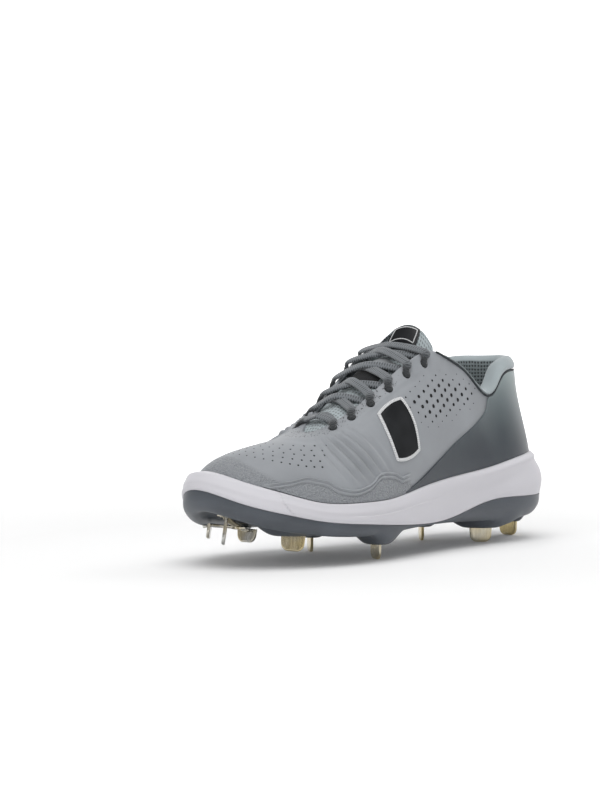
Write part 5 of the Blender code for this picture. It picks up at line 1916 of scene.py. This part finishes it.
def lace_path(side):
    """One half of the lace: from the middle of the bottom bar down into its eyelet, under
    both eyestays to the next, then out of each hole, over its own eyestay, across, under
    the other and out again. Gives places and the facing of the lace's flat side, which
    turns over each time that the lace folds round a hole's edge."""
    lift = sizes().lace_thickness / 2 + 1.2 * GAP
    inside = UPPER_WALL + sizes().lace_thickness / 2 + GAP
    stack = LACE_STACK * side
    places, normals = [], []
    face = [1.0]

    def add(place, normal):
        places.append(place)
        normals.append(unit(normal) * face[0])

    def throat_up(station):
        return unit(wall_normal(station, 1.0) + wall_normal(2 - station, 1.0))

    def over_edge(row_station, at):
        station = side_station(row_station, at)
        add(upper_point(station, 1.0, lift + GAP), wall_normal(station, 1.0) + throat_up(row_station))

    def round_hole(row, at, first, last):
        """Guides through a hole, from first to last, each inside (-1) or outside (1)."""
        centre, normal = eyelet(row, at)
        edge = towards_edge(side_station(eyelet_station(row), at), centre)
        heights = {1: lift, -1: -inside}
        add(centre + normal * heights[first] + edge * HOLE_REACH, normal)
        add(centre + normal * (heights[1] + heights[-1]) / 2 - edge * HOLE_REACH * 0.28, edge * -first)
        face[0] = -face[0]
        add(centre + normal * heights[last] + edge * HOLE_REACH, normal)

    first = eyelet_station(0)
    add(throat_middle(first) + throat_up(first) * (LACE_ARCH + GAP), throat_up(first))
    over_edge(first, side)
    round_hole(0, side, 1, -1)
    at = side
    for row in range(EYELET_ROWS - 1):
        here, there = eyelet_station(row), eyelet_station(row + 1)
        middle = (here + there) / 2
        up = throat_up(middle)
        if row == 0:
            near = side_station(here + (there - here) * 0.20, at)
            add(upper_point(near, 1.0, -inside), wall_normal(near, 1.0) + up)
            add(throat_middle(middle) + up * (stack - 0.0002), up)
        else:
            over_edge(here + (there - here) * 0.06, at)
            add(throat_middle(middle) + up * (LACE_ARCH + stack), up)
        far = side_station(there - (there - here) * 0.12, -at)
        add(upper_point(far, 1.0, -inside), wall_normal(far, 1.0) + up)
        at = -at
        if row < EYELET_ROWS - 2 or at > 0:
            round_hole(row + 1, at, -1, 1)
    top = EYELET_ROWS - 1
    centre, normal = eyelet(top, at)
    if at > 0:
        up = throat_up(eyelet_station(top))
        over_edge(eyelet_station(top), at)
        add(throat_middle(eyelet_station(top)) + up * (LACE_ARCH + 0.0010), up)
        over_edge(eyelet_station(top), -at)
        round_hole(top, -at, 1, -1)
    else:
        edge = towards_edge(side_station(eyelet_station(top), at), centre)
        add(centre - normal * inside + edge * HOLE_REACH, normal)
    return np.array(places), np.array(normals)


def lace_form(side):
    """A flat oval cord along a half of the lace, drawn in where it passes a hole, and how
    much painted shade each of its places gets for being near a hole."""
    places, normals = lace_path(side)
    at = np.linspace(0, len(places) - 1, len(places) * 14)
    path = through(places, at)
    facing = unit(through(normals, at))
    holes = np.array([eyelet(row, other)[0] for row in range(EYELET_ROWS) for other in (1, -1)])
    away = np.linalg.norm(path[:, None] - holes[None], axis=-1).min(1)
    near = 1 - smooth(0.0012, 0.0075, away)
    half_width = sizes().lace_width / 2 * (1 - 0.30 * near)
    half_height = sizes().lace_thickness / 2 * (1 + 0.12 * near)
    form = bead_form(path, facing, half_width, half_height, sides=LACE_SIDES, power=2.3)
    # How much painted shade the lace gets where it goes into a hole
    near = np.pad(1 - smooth(0.0024, 0.0088, away), CAP_ROWS + 1, "edge")
    return form, np.repeat(near, LACE_SIDES)


def make_laces():
    """Both halves of the lace, run through the eyelets."""
    for side, name in SIDES:
        form, near = lace_form(side)
        masks = {"near_hole": near}
        piece = make_piece("lace_half_" + name, [form], [shared(lace_finish)], masks=masks)
        if side > 0:
            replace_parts(piece, "lace_bar_top", "lace_cross_1", "lace_cross_3", "lace_cross_5")
        else:
            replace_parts(piece, "lace_cross_2", "lace_cross_4")


# Stage


def make_stage():
    """White floor and cove, soft studio light, and the camera at the photograph's view."""
    half, depth, height, bend = 3.0, 2.2, 2.4, 0.9
    turn = math.radians(VIEW_TURN)
    away = -np.array([math.sin(turn), math.cos(turn)])
    aside = np.array([-away[1], away[0]])
    arc = np.linspace(0, math.pi / 2, 24)
    run = np.concatenate([[-4.0, 0.0], depth - bend + bend * np.sin(arc), [depth]])
    rise = np.concatenate([[0.0, 0.0], bend - bend * np.cos(arc), [height]])
    middle = np.array([SHOE_LENGTH / 2, 0.0])
    rows = [
        [(*(middle + away * a + aside * b), c) for b in (-half, half)] for a, c in zip(run, rise)
    ]
    points = np.array(rows).reshape(-1, 3)
    number = np.arange(len(points)).reshape(-1, 2)
    quads = np.stack([number[:-1, 0], number[:-1, 1], number[1:, 1], number[1:, 0]], 1)
    mesh = plain_mesh("studio_floor", points, quads)
    mesh.shade_smooth()
    finish = Finish("studio_paper", (0.93, 0.93, 0.93), 0.9, Specular_IOR_Level=0.1)
    finish.set("Base Color", finish.blend(finish.noise(3.0), (0.925, 0.925, 0.925), (0.935, 0.935, 0.935)))
    away = finish.node("ShaderNodeVectorMath", {0: finish.object}, output=1, operation="LENGTH")
    finish.set("Emission Color", (1, 1, 1, 1))
    finish.set("Emission Strength", finish.range(away, 0.25, 1.6, 0.06, 0.80))
    mesh.materials.append(finish.material)
    floor = new_object("studio_floor", mesh)
    world = bpy.data.worlds.new("studio_air")
    world.use_nodes = True
    air = world.node_tree.nodes["Background"].inputs
    air["Color"].default_value = (1.0, 1.0, 1.0, 1)
    air["Strength"].default_value = 0.27
    bpy.context.scene.world = world
    target = np.array(VIEW_TARGET) + frame_shift()
    add_light("key_softbox", target + (0.40, 0.25, 1.25), target, 1.3, 13.2)
    add_light("side_softbox", target + (1.20, 0.90, 0.70), target, 0.9, 2.0)
    add_light("heel_softbox", target + (-1.10, 0.35, 0.80), target, 0.5, 2.3)
    place_camera(target)
    bpy.context.scene.view_settings.view_transform = "Standard"


def add_light(name, place, target, width, power):
    """A square softbox that faces the shoe."""
    lamp = bpy.data.lights.new(name, "AREA")
    lamp.shape = "SQUARE"
    lamp.size = width
    lamp.energy = power
    light = new_object(name, lamp)
    light.location = place
    light.rotation_euler = Vector(np.array(place) - target).to_track_quat("Z", "Y").to_euler()


def place_camera(target):
    """The camera on its sphere about the target, moved aside for the photograph's
    framing and rolled a little, looking along its own back axis."""
    turn, rise, roll = (math.radians(angle) for angle in (VIEW_TURN, VIEW_RISE, VIEW_ROLL))
    back = np.array([math.sin(turn) * math.cos(rise), math.cos(turn) * math.cos(rise), math.sin(rise)])
    right = unit(np.cross([0.0, 0.0, 1.0], back))
    up = np.cross(back, right)
    right, up = (
        math.cos(roll) * right + math.sin(roll) * up,
        -math.sin(roll) * right + math.cos(roll) * up,
    )
    place = target + back * VIEW_DISTANCE - right * VIEW_ASIDE[0] - up * VIEW_ASIDE[1]
    lens = bpy.data.cameras.new("photo_camera")
    lens.lens = VIEW_LENS
    lens.sensor_width = 36.0
    lens.clip_start = 0.05
    camera = new_object("photo_camera", lens)
    matrix = np.eye(4)
    matrix[:3, 0], matrix[:3, 1], matrix[:3, 2], matrix[:3, 3] = right, up, back, place
    camera.matrix_world = Matrix(matrix.tolist())
    bpy.context.scene.camera = camera


# Operators


class CLEAT_OT_upper(bpy.types.Operator):
    """Make the hollow upper with its creases, ribs and eyelets."""

    bl_idname = "cleat.upper"
    bl_label = "Upper"
    bl_options = {"REGISTER", "UNDO"}

    def execute(self, context):
        make_upper()
        return {"FINISHED"}


class CLEAT_OT_vents(bpy.types.Operator):
    """Punch the vents of the quarter, the vamp and the ribs."""

    bl_idname = "cleat.vents"
    bl_label = "Punched vents"
    bl_options = {"REGISTER", "UNDO"}

    def execute(self, context):
        make_vents()
        return {"FINISHED"}


class CLEAT_OT_skins(bpy.types.Operator):
    """Lay the rands, the heel counter and the saddle bands on the upper."""

    bl_idname = "cleat.skins"
    bl_label = "Rands, counter and saddles"
    bl_options = {"REGISTER", "UNDO"}

    def execute(self, context):
        make_rands()
        make_counter()
        make_saddles()
        return {"FINISHED"}


class CLEAT_OT_midsole(bpy.types.Operator):
    """Make the foam midsole cup."""

    bl_idname = "cleat.midsole"
    bl_label = "Midsole"
    bl_options = {"REGISTER", "UNDO"}

    def execute(self, context):
        make_midsole()
        return {"FINISHED"}


class CLEAT_OT_plate(bpy.types.Operator):
    """Make the plate and the front pressing that lies under it."""

    bl_idname = "cleat.plate"
    bl_label = "Plate and front pressing"
    bl_options = {"REGISTER", "UNDO"}

    def execute(self, context):
        make_bracket(make_plate())
        return {"FINISHED"}


class CLEAT_OT_spikes(bpy.types.Operator):
    """Make the six moulded-in spikes."""

    bl_idname = "cleat.spikes"
    bl_label = "Spikes"
    bl_options = {"REGISTER", "UNDO"}

    def execute(self, context):
        make_spikes()
        return {"FINISHED"}


class CLEAT_OT_sockliner(bpy.types.Operator):
    """Make the sockliner."""

    bl_idname = "cleat.sockliner"
    bl_label = "Sockliner"
    bl_options = {"REGISTER", "UNDO"}

    def execute(self, context):
        make_insole()
        return {"FINISHED"}


class CLEAT_OT_collar(bpy.types.Operator):
    """Make the padded collar and its piping."""

    bl_idname = "cleat.collar"
    bl_label = "Padded collar"
    bl_options = {"REGISTER", "UNDO"}

    def execute(self, context):
        make_collar()
        make_piping()
        return {"FINISHED"}


class CLEAT_OT_tongue(bpy.types.Operator):
    """Make the padded tongue with its tag, keeper and webbing."""

    bl_idname = "cleat.tongue"
    bl_label = "Tongue and trim"
    bl_options = {"REGISTER", "UNDO"}

    def execute(self, context):
        make_tongue()
        make_tongue_trim()
        return {"FINISHED"}


class CLEAT_OT_laces(bpy.types.Operator):
    """Run the laces through the eyelets."""

    bl_idname = "cleat.laces"
    bl_label = "Laces"
    bl_options = {"REGISTER", "UNDO"}

    def execute(self, context):
        make_laces()
        return {"FINISHED"}


class CLEAT_OT_stage(bpy.types.Operator):
    """Set the floor, the light and the camera."""

    bl_idname = "cleat.stage"
    bl_label = "Stage"
    bl_options = {"REGISTER", "UNDO"}

    def execute(self, context):
        make_stage()
        return {"FINISHED"}


OPERATORS = (
    CLEAT_OT_stage, CLEAT_OT_upper, CLEAT_OT_vents, CLEAT_OT_skins, CLEAT_OT_midsole, CLEAT_OT_plate,
    CLEAT_OT_spikes, CLEAT_OT_sockliner, CLEAT_OT_collar, CLEAT_OT_tongue, CLEAT_OT_laces,
)


class CLEAT_PT_sidebar(bpy.types.Panel):
    """Lists the cleat's makers, sizes and colours."""

    bl_idname = "CLEAT_PT_sidebar"
    bl_label = "Baseball cleat"
    bl_space_type = "VIEW_3D"
    bl_region_type = "UI"
    bl_category = "Cleat"

    def draw(self, context):
        for operator in OPERATORS:
            self.layout.operator(operator.bl_idname)
        for group in (context.scene.cleat_sizes, context.scene.cleat_colours):
            for name in group.__annotations__:
                self.layout.prop(group, name)


CLASSES = (CleatSizes, CleatColours) + OPERATORS + (CLEAT_PT_sidebar,)


def register():
    """Registers the classes and hangs the two property groups on the scene."""
    for kind in CLASSES:
        bpy.utils.register_class(kind)
    bpy.types.Scene.cleat_sizes = PointerProperty(type=CleatSizes)
    bpy.types.Scene.cleat_colours = PointerProperty(type=CleatColours)


def unregister():
    """Takes away what register added."""
    del bpy.types.Scene.cleat_colours
    del bpy.types.Scene.cleat_sizes
    for kind in reversed(CLASSES):
        bpy.utils.unregister_class(kind)


def main():
    """Registers the add-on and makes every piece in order."""
    register()
    for operator in OPERATORS:
        group, name = operator.bl_idname.split(".")
        getattr(getattr(bpy.ops, group), name)()


if __name__ == "__main__":
    main()
